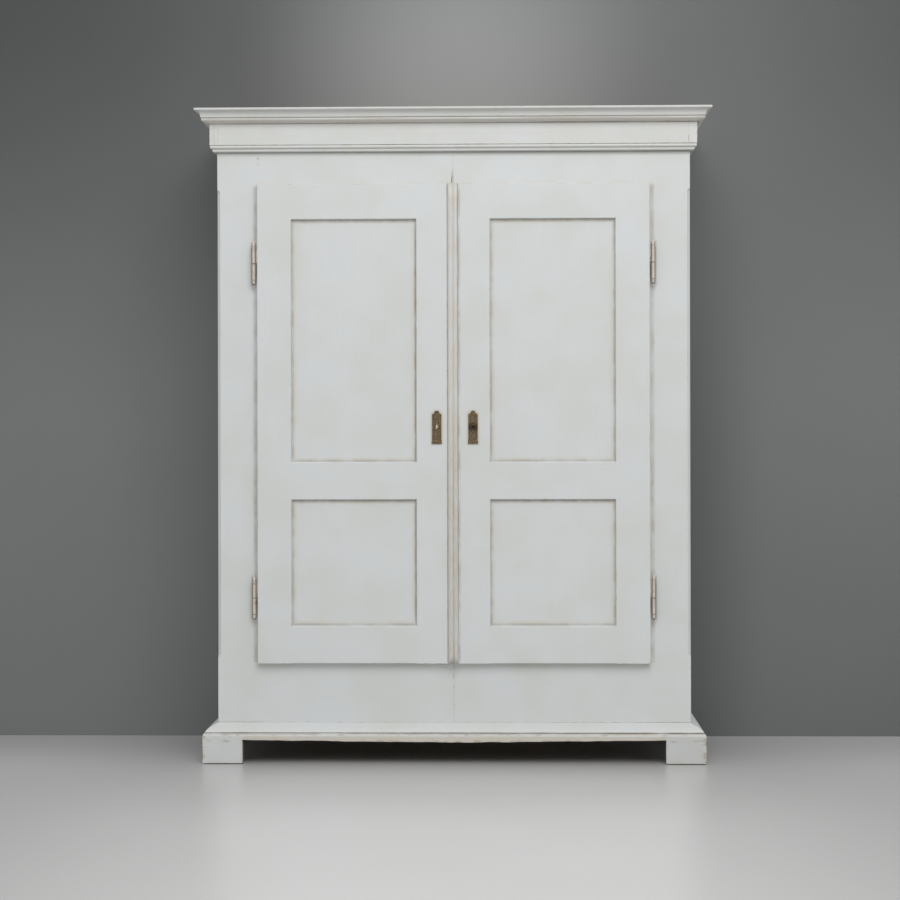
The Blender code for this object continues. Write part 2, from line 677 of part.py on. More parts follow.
def make_escutcheon(name, side, carrier):
    """Key plate with an arched, shouldered head and a raised foot."""
    middle = keyhole_x(name, side)
    base = KEYHOLE_Z - ESCUTCHEON_BELOW_KEYHOLE
    width = ESCUTCHEON_HALF_WIDTH
    arch = ESCUTCHEON_ARCH
    shoulder = base + ESCUTCHEON_HEIGHT - arch
    corner = [
        (width, shoulder - ESCUTCHEON_CORNER_DROP),
        (width - ESCUTCHEON_CORNER, shoulder - ESCUTCHEON_NECK),
        (arch + ESCUTCHEON_NECK, shoulder - ESCUTCHEON_NECK / 2),
    ]
    outline = [(middle - width, base), (middle + width, base)]
    outline += [(middle + across, up) for across, up in corner]
    outline += arc((middle, shoulder), arch, 0, 180, 8)
    outline += [(middle - across, up) for across, up in reversed(corner)]
    back = DOOR_FRONT_Y - FIT
    plate = prism(outline, "Y", (back - ESCUTCHEON_THICKNESS, back))
    plate = add_part(f"{name}_escutcheon", plate, DARK_BRASS, carrier)
    foot_x = (middle - ESCUTCHEON_FOOT_HALF_WIDTH, middle + ESCUTCHEON_FOOT_HALF_WIDTH)
    foot_z = (base - ESCUTCHEON_FOOT_DROP, base + ESCUTCHEON_FOOT_HEIGHT)
    foot = box(foot_x, (back - ESCUTCHEON_FOOT_THICKNESS, back), foot_z, FINE_METAL_EDGE)
    boolean(plate, foot, "UNION")
    boolean(plate, keyhole(name, side, (back - DOOR_THICKNESS, back + DOOR_THICKNESS)), "DIFFERENCE")


def make_lock(name, side, door):
    """Iron lock on the back of the door, and the bolt that it shoots into the centre stile."""
    front = DOOR_BACK_Y + FIT
    case_x = (side * LOCK_INNER, side * (LOCK_INNER + LOCK_WIDTH))
    case_z = (KEYHOLE_Z - LOCK_BELOW_KEYHOLE, KEYHOLE_Z + LOCK_ABOVE_KEYHOLE)
    case = box(case_x, (front, front + LOCK_THICKNESS), case_z, LOCK_CASE_EDGE)
    case = add_part(f"{name}_lock_case", case, IRON, door)
    channel_x = (side * (LOCK_INNER - LOCK_WIDTH), side * (LOCK_INNER + BOLT_LENGTH + FIT))
    half_thickness = BOLT_THICKNESS / 2
    half_height = BOLT_HEIGHT / 2
    channel_y = (BOLT_Y - half_thickness - FIT, BOLT_Y + half_thickness + FIT)
    channel_z = (BOLT_Z - half_height - FIT, BOLT_Z + half_height + FIT)
    boolean(case, box(channel_x, channel_y, channel_z), "DIFFERENCE")
    boolean(case, keyhole(name, side, (front - LOCK_THICKNESS, BOLT_Y)), "DIFFERENCE")
    middle = side * (LOCK_INNER + BOLT_LENGTH / 2)
    slide = joint_empty(f"{name}_bolt_slide", Vector((middle, BOLT_Y, BOLT_Z)), door)
    bolt_x = (side * LOCK_INNER, side * (LOCK_INNER + BOLT_LENGTH))
    bolt_y = (BOLT_Y - half_thickness, BOLT_Y + half_thickness)
    bolt_z = (BOLT_Z - half_height, BOLT_Z + half_height)
    bolt = box(bolt_x, bolt_y, bolt_z, FINE_METAL_EDGE)
    add_part(f"{name}_lock_bolt", bolt, STEEL, slide)


def finial(end, direction):
    """Turned tip beyond the end of a barrel, as (radius, height) points from the barrel out."""
    shape = (
        (0.0054, 0.05), (0.0052, 0.10), (0.0064, 0.20), (0.0060, 0.38),
        (0.0040, 0.66), (0.0024, 0.88), (0.0012, 0.97),
    )
    points = [(radius, end + direction * HINGE_FINIAL * share) for radius, share in shape]
    return points + [(0.0, end + direction * HINGE_FINIAL)]


def make_hinge(name, side, place, centre, door):
    """Lift-off barrel hinge: the frame half carries the pin, and the door half turns on it."""
    axis = (side * HINGE_X, HINGE_Y, centre)
    half_leaf = HINGE_LEAF_THICKNESS / 2
    root = HINGE_RADIUS - HINGE_LEAF_ROOT
    pin = HINGE_PIN_RADIUS
    profile = [(0.0, HINGE_PIN_LENGTH), (pin - HINGE_PIN_TAPER, HINGE_PIN_LENGTH)]
    profile += [(pin, HINGE_PIN_LENGTH - HINGE_PIN_TAPER_LENGTH), (pin, 0.0), (HINGE_RADIUS, 0.0)]
    profile += [(HINGE_RADIUS, -HINGE_BARREL)] + finial(-HINGE_BARREL, -1)
    lower = add_part(
        f"{name}_{place}_hinge_pin_half", lathe(profile, axis), PAINTED_IRON, smooth=True
    )
    leaf_x = (axis[0] - half_leaf, axis[0] + half_leaf)
    leaf_y = (HINGE_Y + root, FACE_Y + HINGE_LEAF_DEPTH)
    leaf_z = (centre - HINGE_BARREL + HINGE_LEAF_MARGIN, centre - HINGE_LEAF_MARGIN)
    boolean(lower, box(leaf_x, leaf_y, leaf_z), "UNION")
    bore = pin + HINGE_PIN_PLAY
    bore_end = HINGE_PIN_LENGTH + HINGE_JOINT_GAP + FIT
    start = HINGE_JOINT_GAP
    profile = [(0.0, bore_end), (bore, bore_end), (bore, start), (HINGE_RADIUS, start)]
    profile += [(HINGE_RADIUS, start + HINGE_BARREL)] + finial(start + HINGE_BARREL, 1)
    upper = add_part(
        f"{name}_{place}_hinge_door_half", lathe(profile, axis), PAINTED_IRON, door, smooth=True
    )
    leaf_x = (side * (HINGE_X - root), side * (DOOR_EDGE - HINGE_LEAF_DEPTH))
    leaf_y = (HINGE_Y - half_leaf, HINGE_Y + half_leaf)
    leaf_z = (centre + HINGE_LEAF_MARGIN, centre + HINGE_BARREL - HINGE_LEAF_MARGIN)
    boolean(upper, box(leaf_x, leaf_y, leaf_z), "UNION")


def main():
    clear_scene()
    make_plinth()
    make_frieze()
    make_crown()
    make_top_board()
    for name, side in SIDES:
        make_carcass_half(name, side)
        make_face_frame(name, side)
        door = make_door(name, side)
        make_escutcheon(name, side, door)
        make_lock(name, side, door)
        for place, centre in HINGE_CENTRES.items():
            make_hinge(name, side, place, centre, door)
        if name == "right":
            make_cover_strip(door)


main()
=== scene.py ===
"""Looks of a painted two-door cupboard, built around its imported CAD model.

Metres, +Z up, front to -Y. Object coordinates of every piece are the model's own coordinates at rest,
so a worn edge or a line of dirt is placed by the same sizes as the boards.
"""

import json
import math

import bmesh
import bpy
from mathutils import Matrix, Vector, noise


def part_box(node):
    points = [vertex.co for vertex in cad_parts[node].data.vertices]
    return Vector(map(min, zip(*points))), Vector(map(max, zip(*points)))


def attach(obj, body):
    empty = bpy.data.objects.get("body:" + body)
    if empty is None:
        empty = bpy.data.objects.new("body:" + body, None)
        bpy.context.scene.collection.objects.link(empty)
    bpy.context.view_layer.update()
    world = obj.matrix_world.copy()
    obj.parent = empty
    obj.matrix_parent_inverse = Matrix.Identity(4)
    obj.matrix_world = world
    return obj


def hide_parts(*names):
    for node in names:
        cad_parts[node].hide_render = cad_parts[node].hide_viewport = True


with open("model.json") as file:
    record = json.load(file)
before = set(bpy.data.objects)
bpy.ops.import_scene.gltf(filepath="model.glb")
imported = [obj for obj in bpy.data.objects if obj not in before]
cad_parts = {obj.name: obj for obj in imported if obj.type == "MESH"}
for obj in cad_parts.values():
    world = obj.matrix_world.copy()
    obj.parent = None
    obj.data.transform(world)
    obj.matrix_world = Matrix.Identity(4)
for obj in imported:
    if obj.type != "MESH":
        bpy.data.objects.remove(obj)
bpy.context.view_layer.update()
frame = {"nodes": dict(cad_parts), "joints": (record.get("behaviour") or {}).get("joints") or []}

bl_info = {
    "name": "Painted Cupboard",
    "version": (1, 0, 0),
    "blender": (4, 5, 0),
    "location": "3D Viewport > Sidebar > Cupboard",
    "description": "Paint, metal, fittings and studio stage for a painted two-door cupboard",
    "category": "Object",
}

SIDES = (("left", -1), ("right", 1))
LEVELS = ("upper", "lower")

# Two places closer than this are the same place
NEAR = 1e-4

# Doors and panels, from the model
DOOR_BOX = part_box("left_door_hinge_stile")
DOOR_EDGE = -DOOR_BOX[0].x
DOOR_BASE = DOOR_BOX[0].z
DOOR_TOP = DOOR_BOX[1].z
DOOR_FRONT = DOOR_BOX[0].y
PANEL_INNER = -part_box("left_door_lock_stile")[0].x
PANEL_OUTER = -DOOR_BOX[1].x
LOWER_PANEL = (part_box("left_door_bottom_rail")[1].z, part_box("left_door_lock_rail")[0].z)
UPPER_PANEL = (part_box("left_door_lock_rail")[1].z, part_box("left_door_top_rail")[0].z)
PANEL_MIDDLE = sum(corner.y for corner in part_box("left_door_upper_panel")) / 2
STRIP_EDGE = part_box("meeting_cover_strip")[1].x
HINGE_ASIDE = next(joint for joint in frame["joints"] if joint["name"] == "right_door_hinge")["pos_m"][0]

# Carcass, cornice and plinth, from the model
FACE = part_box("outer_stile_left")[0].y
CARCASS_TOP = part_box("outer_stile_left")[1].z
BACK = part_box("back_boards_left")[1].y
CROWN_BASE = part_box("crown_front")[0].z
CROWN_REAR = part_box("crown_front")[1].y
CROWN_BACK = -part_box("crown_left")[1].x
FRIEZE_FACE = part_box("frieze_front")[0].y
FRIEZE_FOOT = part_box("frieze_front")[0].z
FRIEZE_BEADS = FRIEZE_FOOT + 0.020
FRIEZE_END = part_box("frieze_right")[1].x
FRIEZE_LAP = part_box("frieze_left")[1].x - 0.011
PLINTH_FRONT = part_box("plinth_front")[0].y
PLINTH_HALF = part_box("plinth_front")[1].x
PLINTH_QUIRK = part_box("plinth_front")[1].z - 0.028
FOOT_INNER = PLINTH_HALF - 0.123

# Boards of the bare inside: how wide one is, and where the first starts
INSIDE_BOARD = 0.16
BOARD_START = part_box("shelf_left_1")[0].y - 0.06

# Plinth's lower edge: its height in the model, the sag in the middle, how far that reaches, and how much
# the feet are worn at the floor
APRON_BASE = 0.074
APRON_SAG = 0.0054
APRON_REACH = 0.64
FOOT_EASE = 0.0028

# Door frames: how far rails run into stiles, and the eased edge under each panel
JOINT_REACH = 0.0024
SILL_ARRIS = 0.0015
SILL_EASE = 0.0019

# How much wider the cover strip is towards the left door than in the model
STRIP_LAP = 0.0016

# Heights on an outer stile where its chamfer runs out, and how far each is moved up. At the foot the stop
# stays steeper than the edge from its corner to the hinge slot, or that flat face folds over.
CHAMFER_STOPS = (
    (DOOR_BASE + 0.026, -0.014), (DOOR_BASE + 0.042, -0.018),
    (DOOR_TOP - 0.034, 0.013), (DOOR_TOP - 0.018, 0.004),
)

# Old holes in the left stile: place across, height, size and how much of one shows
STILE_HOLES = ((-0.606, 1.890, 0.0085, 0.20), (-0.6065, 1.876, 0.0060, 0.32), (-0.607, 1.858, 0.0080, 0.13))

# Heights of the quirks on a frieze board, and how thick old paint is in each
QUIRK_FILLS = ((0.0101, 0.0028), (0.0203, 0.0030), (0.0210, 0.0022))

# Key plates: radius of the arch, height of the foot below the rim, how far the face stands in front of the
# back, and height of the keyhole. Then the rim's margin, width and height.
PLATE_ARCH = 0.0085
PLATE_FOOT = 0.009
PLATE_PROUD = 0.0025
KEYHOLE_ABOVE_PLATE = 0.051
RIM_MARGIN = 0.0006
RIM_WIDTH = 0.0014
RIM_HEIGHT = 0.0009

# Hinge barrels, and the profile of a ring on one, out from the barrel and up
HINGE_RADIUS = 0.007
HINGE_FINIAL = 0.0235
RING_BEAD = (
    (-0.0004, -0.0013), (0.0007, -0.0008), (0.0009, 0.0),
    (0.0007, 0.0008), (-0.0004, 0.0013), (-0.0004, -0.0013),
)

# Back planks: number in each half, and size of the V at a joint
PLANKS = 6
PLANK_V = 0.0030

# Wall behind the cupboard, and the camera as fitted to the photo. The turn and roll are in degrees, and the
# picture's side and the horizon in pixels.
WALL_GAP = 0.068
IMAGE_SIDE = 900
CAMERA_PLACE = (0.16, -7.02, 1.031)
CAMERA_TURN = 1.44
CAMERA_ROLL = -0.12
HORIZON_ABOVE_MIDDLE = 20


def linear(code):
    """Linear RGB from an sRGB hex colour."""
    parts = [int(code[i:i + 2], 16) / 255 for i in (1, 3, 5)]
    return tuple(c / 12.92 if c <= 0.04045 else ((c + 0.055) / 1.055) ** 2.4 for c in parts)


def shade(colour, factor):
    """A colour made darker or lighter."""
    return [min(1.0, c * factor) for c in colour]


def colour_property(name, description, code):
    return bpy.props.FloatVectorProperty(
        name=name, description=description, subtype="COLOR", size=3, min=0.0, max=1.0, default=linear(code),
    )


class PaintSettings(bpy.types.PropertyGroup):
    """Colours and wear of the painted wood."""

    paint: colour_property("Paint", "Grey-white oil paint where it is sound", "#d5d7d7")
    aged: colour_property("Aged paint", "Paint where it has yellowed", "#d1d3cf")
    cream: colour_property("Old coat", "Cream coat that shows where the top coat is thin", "#cfc3ae")
    wood: colour_property("Bare wood", "Pine where both coats are gone", "#8a6a48")
    # The dirt colour also paints shade: in hollows, beside the doors and hinge barrels, under the cornice, on
    # the plinth and at the floor.
    dirt: colour_property("Dirt", "Brown dirt in corners and quirks", "#796f5e")
    edge_wear: bpy.props.FloatProperty(
        name="Edge wear", description="How wide the worn line on an edge is",
        default=0.0022, min=0.0, max=0.01, unit="LENGTH", precision=4,
    )
    dirt_width: bpy.props.FloatProperty(
        name="Dirt width", description="How far dirt reaches from the edge of a panel",
        default=0.0065, min=0.001, max=0.03, unit="LENGTH", precision=4,
    )


class MetalSettings(bpy.types.PropertyGroup):
    """Colours of the key plates, hinges and locks."""

    brass: colour_property("Brass", "Brass where it is rubbed bright", "#bba574")
    tarnish: colour_property("Tarnish", "Brown layer on the brass", "#65564a")
    hinge_paint: colour_property("Hinge paint", "Cream paint on the hinges", "#cfc8ba")
    iron: colour_property("Iron", "Dark iron of the lock cases", "#3b3835")
    rust: colour_property("Rust", "Rust on iron", "#6b4026")
    steel: colour_property("Steel", "Steel of the bolts and screws", "#9a9690")


class WoodSettings(bpy.types.PropertyGroup):
    """Colours of the bare pine inside and behind."""

    early: colour_property("Early wood", "Pale band of a growth ring", "#c9a97c")
    late: colour_property("Late wood", "Dark band of a growth ring", "#a17a4c")
    knot: colour_property("Knot", "Knots", "#6d4829")
    # The dust colour also paints shade on the plinth's back rail.
    dust: colour_property("Dust", "Grey dust on boards that are never wiped", "#615f5d")


class StageSettings(bpy.types.PropertyGroup):
    """Floor, wall, light and camera."""

    floor: colour_property("Floor", "Pale coated floor", "#d2d1cf")
    wall: colour_property("Wall", "Grey wall", "#7d7e7e")
    lamp_power: bpy.props.FloatProperty(
        name="Lamp", description="Power of the soft lamp", default=157.0, min=0.0,
        unit="POWER", subtype="POWER",
    )
    sky: bpy.props.FloatProperty(
        name="Even light", description="Strength of the even light from all sides", default=0.675, min=0.0,
    )
    focal_length: bpy.props.FloatProperty(
        name="Focal length", description="Camera lens", default=87.6, min=1.0, unit="CAMERA",
    )


class Field:
    """A number, colour or place that varies over a surface, held as one output of a node.

    Sums on fields are done by nodes too: a | b is the larger of two, a & b the smaller. As Python
    has it, * and / come before + and -, those before &, and | comes last.
    """

    def __init__(self, socket):
        self.socket = socket
        self.tree = socket.id_data

    def run(self, operation, other=0.0):
        return add(self.tree, "ShaderNodeMath", {0: self, 1: other}, operation=operation)

    def __add__(self, other):
        return self.run("ADD", other)

    def __sub__(self, other):
        return self.run("SUBTRACT", other)

    def __mul__(self, other):
        return self.run("MULTIPLY", other)

    def __truediv__(self, other):
        return self.run("DIVIDE", other)

    def __pow__(self, other):
        return self.run("POWER", other)

    def __or__(self, other):
        return self.run("MAXIMUM", other)

    def __and__(self, other):
        return self.run("MINIMUM", other)

    def __abs__(self):
        return self.run("ABSOLUTE")


def add(tree, kind, sources=None, output=0, **settings):
    """Adds a node and gives one of its outputs. A source is a number, a colour or a field, by input."""
    node = tree.nodes.new(kind)
    for key, value in settings.items():
        setattr(node, key, value)
    for key, value in (sources or {}).items():
        if isinstance(value, Field):
            tree.links.new(value.socket, node.inputs[key])
        else:
            node.inputs[key].default_value = value
    return Field(node.outputs[output]) if len(node.outputs) else None


def new_material(name):
    """An empty material, its node tree and the place on the piece in the model's coordinates."""
    material = bpy.data.materials.new(name)
    material.use_nodes = True
    tree = material.node_tree
    tree.nodes.clear()
    return material, tree, add(tree, "ShaderNodeTexCoord", output="Object")


def finish_material(material, sockets, relief=None, strength=0.4, depth=0.0003):
    """Ends a material in a Principled shader. What is the same all over is set on its own sockets."""
    tree = material.node_tree
    if relief:
        sources = {"Strength": strength, "Distance": depth, "Height": relief}
        sockets = {**sockets, "Normal": add(tree, "ShaderNodeBump", sources)}
    shader = add(tree, "ShaderNodeBsdfPrincipled", sockets)
    add(tree, "ShaderNodeOutputMaterial", {"Surface": shader})
    return material


def coats(colour, *layers):
    """A colour with others laid over it in turn, each with the share of it that shows."""
    for share, over in layers:
        below, above = (c if isinstance(c, Field) else (*c, 1.0) for c in (colour, over))
        colour = add(share.tree, "ShaderNodeMix", {0: share, 6: below, 7: above}, 2, data_type="RGBA")
    return colour


def axes(place):
    """X, Y and Z of a place."""
    split = add(place.tree, "ShaderNodeSeparateXYZ", {0: place})
    return [Field(socket) for socket in split.socket.node.outputs]


def stretched_noise(place, size, detail=2.0, shift=(0.0, 0.0, 0.0)):
    """Noise from 0 to 1 whose features have one size in metres, or three along X, Y and Z."""
    sizes = size if isinstance(size, tuple) else (size, size, size)
    sources = {"Vector": place, "Location": shift, "Scale": [1 / s for s in sizes]}
    mapped = add(place.tree, "ShaderNodeMapping", sources)
    return add(place.tree, "ShaderNodeTexNoise", {"Vector": mapped, "Scale": 1.0, "Detail": detail}, "Fac")


def window(value, low, high):
    """0 below low, 1 above high, and a smooth rise between."""
    sources = {"Value": value, 1: low, 2: high}
    return add(value.tree, "ShaderNodeMapRange", sources, interpolation_type="SMOOTHSTEP")


def line(value, at, half_width):
    """1 where value is at a place, falling to 0 at half_width from it."""
    return window(abs(value - at), half_width, 0.0)


def along_axis(axis, along, across):
    """Feature size for a grain that runs along one axis."""
    return tuple(along if name == axis else across for name in "XYZ")


def frame_distance(across, up, wide, high):
    """Signed distance in metres from the edge of a rectangle, below 0 inside it."""
    aside = abs(across - sum(wide) / 2) - (wide[1] - wide[0]) / 2
    above = abs(up - sum(high) / 2) - (high[1] - high[0]) / 2
    return aside | above


def plate_distance(side, x, z):
    """Signed distance in metres from the outline of a key plate, below 0 on it."""
    low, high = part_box(f"{side}_escutcheon")
    middle = (low.x + high.x) / 2
    arch_half = PLATE_ARCH * 0.8
    body = frame_distance(x, z, (low.x, high.x), (low.z, high.z - PLATE_ARCH))
    arch = frame_distance(x, z, (middle - arch_half, middle + arch_half), (low.z, high.z - 0.001))
    return body & arch


def distance(place, middle):
    """Metres from one place."""
    centred = add(place.tree, "ShaderNodeMapping", {"Vector": place, "Location": [-p for p in middle]})
    return add(place.tree, "ShaderNodeVectorMath", {0: centred}, "Value", operation="LENGTH")


def blot(place, middle, size):
    """A small soft mark round one place."""
    return window(distance(place, middle), size, size * 0.3)


def outer_edges(tree, radius, low, high):
    """1 on edges that stand out, where a normal rounded by a radius turns away from the true one."""
    normal = add(tree, "ShaderNodeNewGeometry", output="Normal")
    rounded = add(tree, "ShaderNodeBevel", {"Radius": radius}, samples=6)
    agree = add(tree, "ShaderNodeVectorMath", {0: normal, 1: rounded}, "Value", operation="DOT_PRODUCT")
    return window(agree, low, high)


def hollows(tree, reach, low, high):
    """1 deep in corners, where the piece itself shuts out what is within reach."""
    sky = add(tree, "ShaderNodeAmbientOcclusion", {"Distance": reach}, "AO", samples=6, only_local=True)
    return window(sky, low, high)


def door_marks(settings, place):
    """A door's dirt round panels, strip and key plates, and cream and wood at the panels' worn edges."""
    x, y, z = axes(place)
    across = abs(x)
    wide = (PANEL_INNER, PANEL_OUTER)
    off = frame_distance(across, z, wide, LOWER_PANEL) & frame_distance(across, z, wide, UPPER_PANEL)
    patch = window(stretched_noise(place, 0.05), 0.36, 0.62)
    fine = stretched_noise(place, 0.009, shift=(3.1, 0.4, 7.7))
    smeared = stretched_noise(place, (0.02, 0.02, 0.05), 3.0, (8.0, 1.0, 2.0))
    wobble = (fine - 0.5) * 0.003
    ragged = off + wobble
    # The corner under a rail is dark with shadow already, so it gets less dirt.
    under_rail = line(z, LOWER_PANEL[1], 0.014) * 0.6 | line(z, UPPER_PANEL[1], 0.014)
    share = (under_rail * -0.9 + 1.0) * (patch * 0.2 + 0.2)
    beside = line(x + wobble, STRIP_EDGE + 0.001, 0.008) * window(smeared, 0.3, 0.6) * 0.35
    dirt = line(ragged, -0.003, settings.dirt_width) * share | beside
    halo = line(ragged, -0.009, 0.008) * (patch * 0.3 + 0.15)
    round_plate = plate_distance("left", x, z) & plate_distance("right", x, z)
    round_plate = line(fine * 0.004 - 0.002 + round_plate, 0.001, 0.0055) * 0.6
    cream = halo | round_plate
    on_panel = window(off, 0.0005, -0.0015)
    below_corner = window(z, UPPER_PANEL[1] - 0.03, UPPER_PANEL[1] - 0.05)
    left_door = window(x, 0.0, -0.01)
    upright = line(across + wobble, PANEL_INNER + 0.0025, 0.0055) * on_panel * window(smeared, 0.25, 0.6)
    heads = (line(z, LOWER_PANEL[1] - 0.003, 0.011) | line(z, UPPER_PANEL[1] - 0.003, 0.011)) * on_panel
    streaky = window(smeared, 0.3, 0.7) * 0.26 + 0.04
    bare = heads * streaky | upright * left_door * below_corner * 0.42
    front = window(y, PANEL_MIDDLE, PANEL_MIDDLE - 0.001)
    return dirt * front, cream * front, bare * front


def carcass_marks(settings, place):
    """The carcass front's painted shadow beside the doors, dirt and painted shade along the hinge barrels and
    under the cornice, dirt on the seam, and three old holes.
    """
    x, y, z = axes(place)
    across = abs(x)
    patch = window(stretched_noise(place, 0.06), 0.38, 0.64)
    fine = stretched_noise(place, (0.02, 0.02, 0.03), shift=(1.7, 5.2, 0.3))
    tall = window(z, DOOR_BASE - 0.002, DOOR_BASE + 0.004) * window(z, DOOR_TOP + 0.002, DOOR_TOP - 0.006)
    # Painted shadow cast by each door's edge on the face frame. Where it is worn through, the same band shows
    # bare wood.
    beside = line(across - DOOR_EDGE, 0.009, 0.01) * tall * (patch * 0.12 + 0.15)
    off_seam = x + (fine - 0.5) * 0.006
    on_seam = window(abs(z - DOOR_TOP), 0.062, 0.012) * window(y, FACE + 0.004, FACE)
    dirt = line(off_seam, 0.0, 0.0028) * on_seam * 0.3 | beside
    # A darker line on the stile down each hinge barrel: dirt, and painted shade where barrel and stile meet.
    by_barrel = line(across, HINGE_ASIDE + 0.0088, 0.0042) * 0.4
    for level in LEVELS:
        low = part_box(f"right_{level}_hinge_pin_half")[0].z
        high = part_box(f"right_{level}_hinge_door_half")[1].z
        dirt = by_barrel * window(z, low, low + 0.012) * window(z, high, high - 0.012) | dirt
    for aside, height, size, share in STILE_HOLES:
        dirt = blot(place, (aside, FACE, height), size) * share | dirt
    # Below the frieze: brown dirt at the joint, and painted shade fading down from it, stronger to the right.
    rightward = window(x, -0.5, 0.3) * 0.28 + 0.17
    dirt = line(z, FRIEZE_FOOT - 0.002, 0.015) * rightward | dirt
    off_doors = frame_distance(across, z, (-DOOR_EDGE, DOOR_EDGE), (DOOR_BASE, DOOR_TOP))
    cream = line(off_seam, 0.0, 0.011) * on_seam * 0.2 | line(off_doors, 0.004, 0.012) * patch * 0.3
    worn = stretched_noise(place, (0.015, 0.015, 0.04), 3.0, (6.0, 6.0, 1.0))
    return dirt, cream, beside * window(worn, 0.5, 0.66) * 0.8


def cornice_marks(settings, place):
    """The cornice's yellowed bands, brown lines under the crown, and the lap at the frieze's left end."""
    x, y, z = axes(place)
    patch = window(stretched_noise(place, (0.11, 0.11, 0.02)), 0.35, 0.6)
    streaks = stretched_noise(place, (0.2, 0.2, 0.003))
    bands = (streaks + 0.35) * (line(z, CROWN_BASE + 0.005, 0.013) * 0.5)
    plain = window(z, FRIEZE_BEADS, FRIEZE_BEADS + 0.002) * window(z, CROWN_BASE, CROWN_BASE - 0.001)
    on_front = window(y, FRIEZE_FACE + 0.002, FRIEZE_FACE + 0.001)
    end = window(x, FRIEZE_LAP + 0.001, FRIEZE_LAP - 0.001) * 0.32 * plain * on_front
    cream = patch * 0.12 + window(z, CROWN_BASE, CROWN_BASE + 0.003) * 0.06 | bands | end
    outer = window(y, CROWN_REAR - 0.001, CROWN_REAR - 0.003)
    outer = outer | window(abs(x), CROWN_BACK + 0.001, CROWN_BACK + 0.003)
    uneven = window(stretched_noise(place, (0.16, 0.16, 0.02), 3.0, (2.0, 0.0, 5.0)), 0.3, 0.6)
    uneven = uneven * (window(x, -0.7, 0.5) * 0.6 + 0.4)
    brown = (line(z, CROWN_BASE, 0.0035) | line(z, CROWN_BASE + 0.0115, 0.0035)) * uneven * outer
    joint = line(x, FRIEZE_LAP, 0.0022) * plain * on_front
    dirt = brown * 0.3 | line(z, CARCASS_TOP, 0.004) * 0.25 | joint * 0.25
    return dirt, cream, brown * 0.28


def plinth_marks(settings, place):
    """The plinth's kicked and chipped paint below its quirk, the dirt in the quirk, dirt and a painted
    contact shadow at the floor, and painted shade on its top slope and lower part.
    """
    x, y, z = axes(place)
    across = abs(x)
    patch = window(stretched_noise(place, (0.07, 0.07, 0.03)), 0.34, 0.6)
    chips = window(stretched_noise(place, (0.03, 0.03, 0.01), 4.0), 0.48, 0.62)
    low = window(z, 0.095, 0.08)
    apron = low * window(across, FOOT_INNER + 0.01, FOOT_INNER - 0.01)
    by_front = window(y, PLINTH_FRONT + 0.045, PLINTH_FRONT + 0.012)
    outer = window(across, PLINTH_HALF - 0.03, PLINTH_HALF - 0.004) * by_front
    kicked = (line(z, 0.0, 0.016) | outer) * low
    cream = apron * (chips * 0.2 + 0.5) | kicked * chips * 0.5
    # Painted shade: darker on the top slope, and on the lower part, more towards the right foot and between
    # the feet.
    plinth_painted_shade = window(z, 0.097, 0.103) * 0.05 | (window(x, 0.55, 0.7) * 0.1 + 0.07) * low
    plinth_painted_shade = apron * 0.08 | plinth_painted_shade
    stain = line(z + chips * 0.003, PLINTH_QUIRK - 0.001, 0.007) * 0.42 * (patch * 0.6 + 0.4)
    dirt = line(z, PLINTH_QUIRK, 0.0045) * patch * 0.25 | plinth_painted_shade | stain
    # The dark line at the floor is dirt and a painted contact shadow.
    dirt = dirt | line(z, 0.0, 0.0035) * 0.8 | blot(place, (-0.692, FACE - 0.04, 0.084), 0.006) * 0.5
    rightward = (by_front * 0.8 + 0.2) * (window(x, 0.1, 0.66) * 0.6 + 0.25)
    ribbon = window(stretched_noise(place, (0.09, 0.09, 0.02), 3.0, (1.0, 2.0, 3.0)), 0.25, 0.52)
    ribbon = ribbon * (window(x, 0.2, 0.62) * 0.3 + 0.45) * by_front
    ribbon = line(z, PLINTH_QUIRK - 0.0005, 0.0045) * ribbon
    under = line(z, APRON_BASE - 0.003, 0.006) * chips * 0.4
    tight = window(across, PLINTH_HALF - 0.012, PLINTH_HALF - 0.003)
    knocked = outer * chips * low * tight * 0.4
    return dirt, cream, stain * chips * rightward | ribbon | under | knocked


def strip_marks(settings, place):
    """The cover strip's dirt from hands, in its quirk and along its right edge, more below the locks."""
    x, _, z = axes(place)
    patch = window(stretched_noise(place, (0.03, 0.03, 0.09)), 0.3, 0.6)
    fine = stretched_noise(place, (0.006, 0.006, 0.03), 3.0, (2.2, 0.1, 4.0))
    rubbed = stretched_noise(place, (0.004, 0.01, 0.07), 3.0, (0.5, 3.0, 2.0))
    below = window(z, 1.25, 0.75)
    quirk = line(x, 0.0, 0.003) * (below + 0.1)
    flank = line(x, STRIP_EDGE - 0.001, 0.006) * 0.5
    edges = (quirk * 0.4 | flank) * (patch * 0.5 + 0.35)
    bare = line(x, STRIP_EDGE - 0.0015, 0.004) * window(rubbed, 0.45, 0.6)
    return edges | fine * 0.2 * (below + 0.4), fine * 0.9 * patch, bare * 0.3


def clot_marks(settings, place):
    """A thick old cream coat, nowhere sound."""
    uneven = stretched_noise(place, (0.004, 0.004, 0.006), 3.0)
    return uneven * 0.2, uneven * 0.4 + 0.7 & 1.0, uneven * 0.05


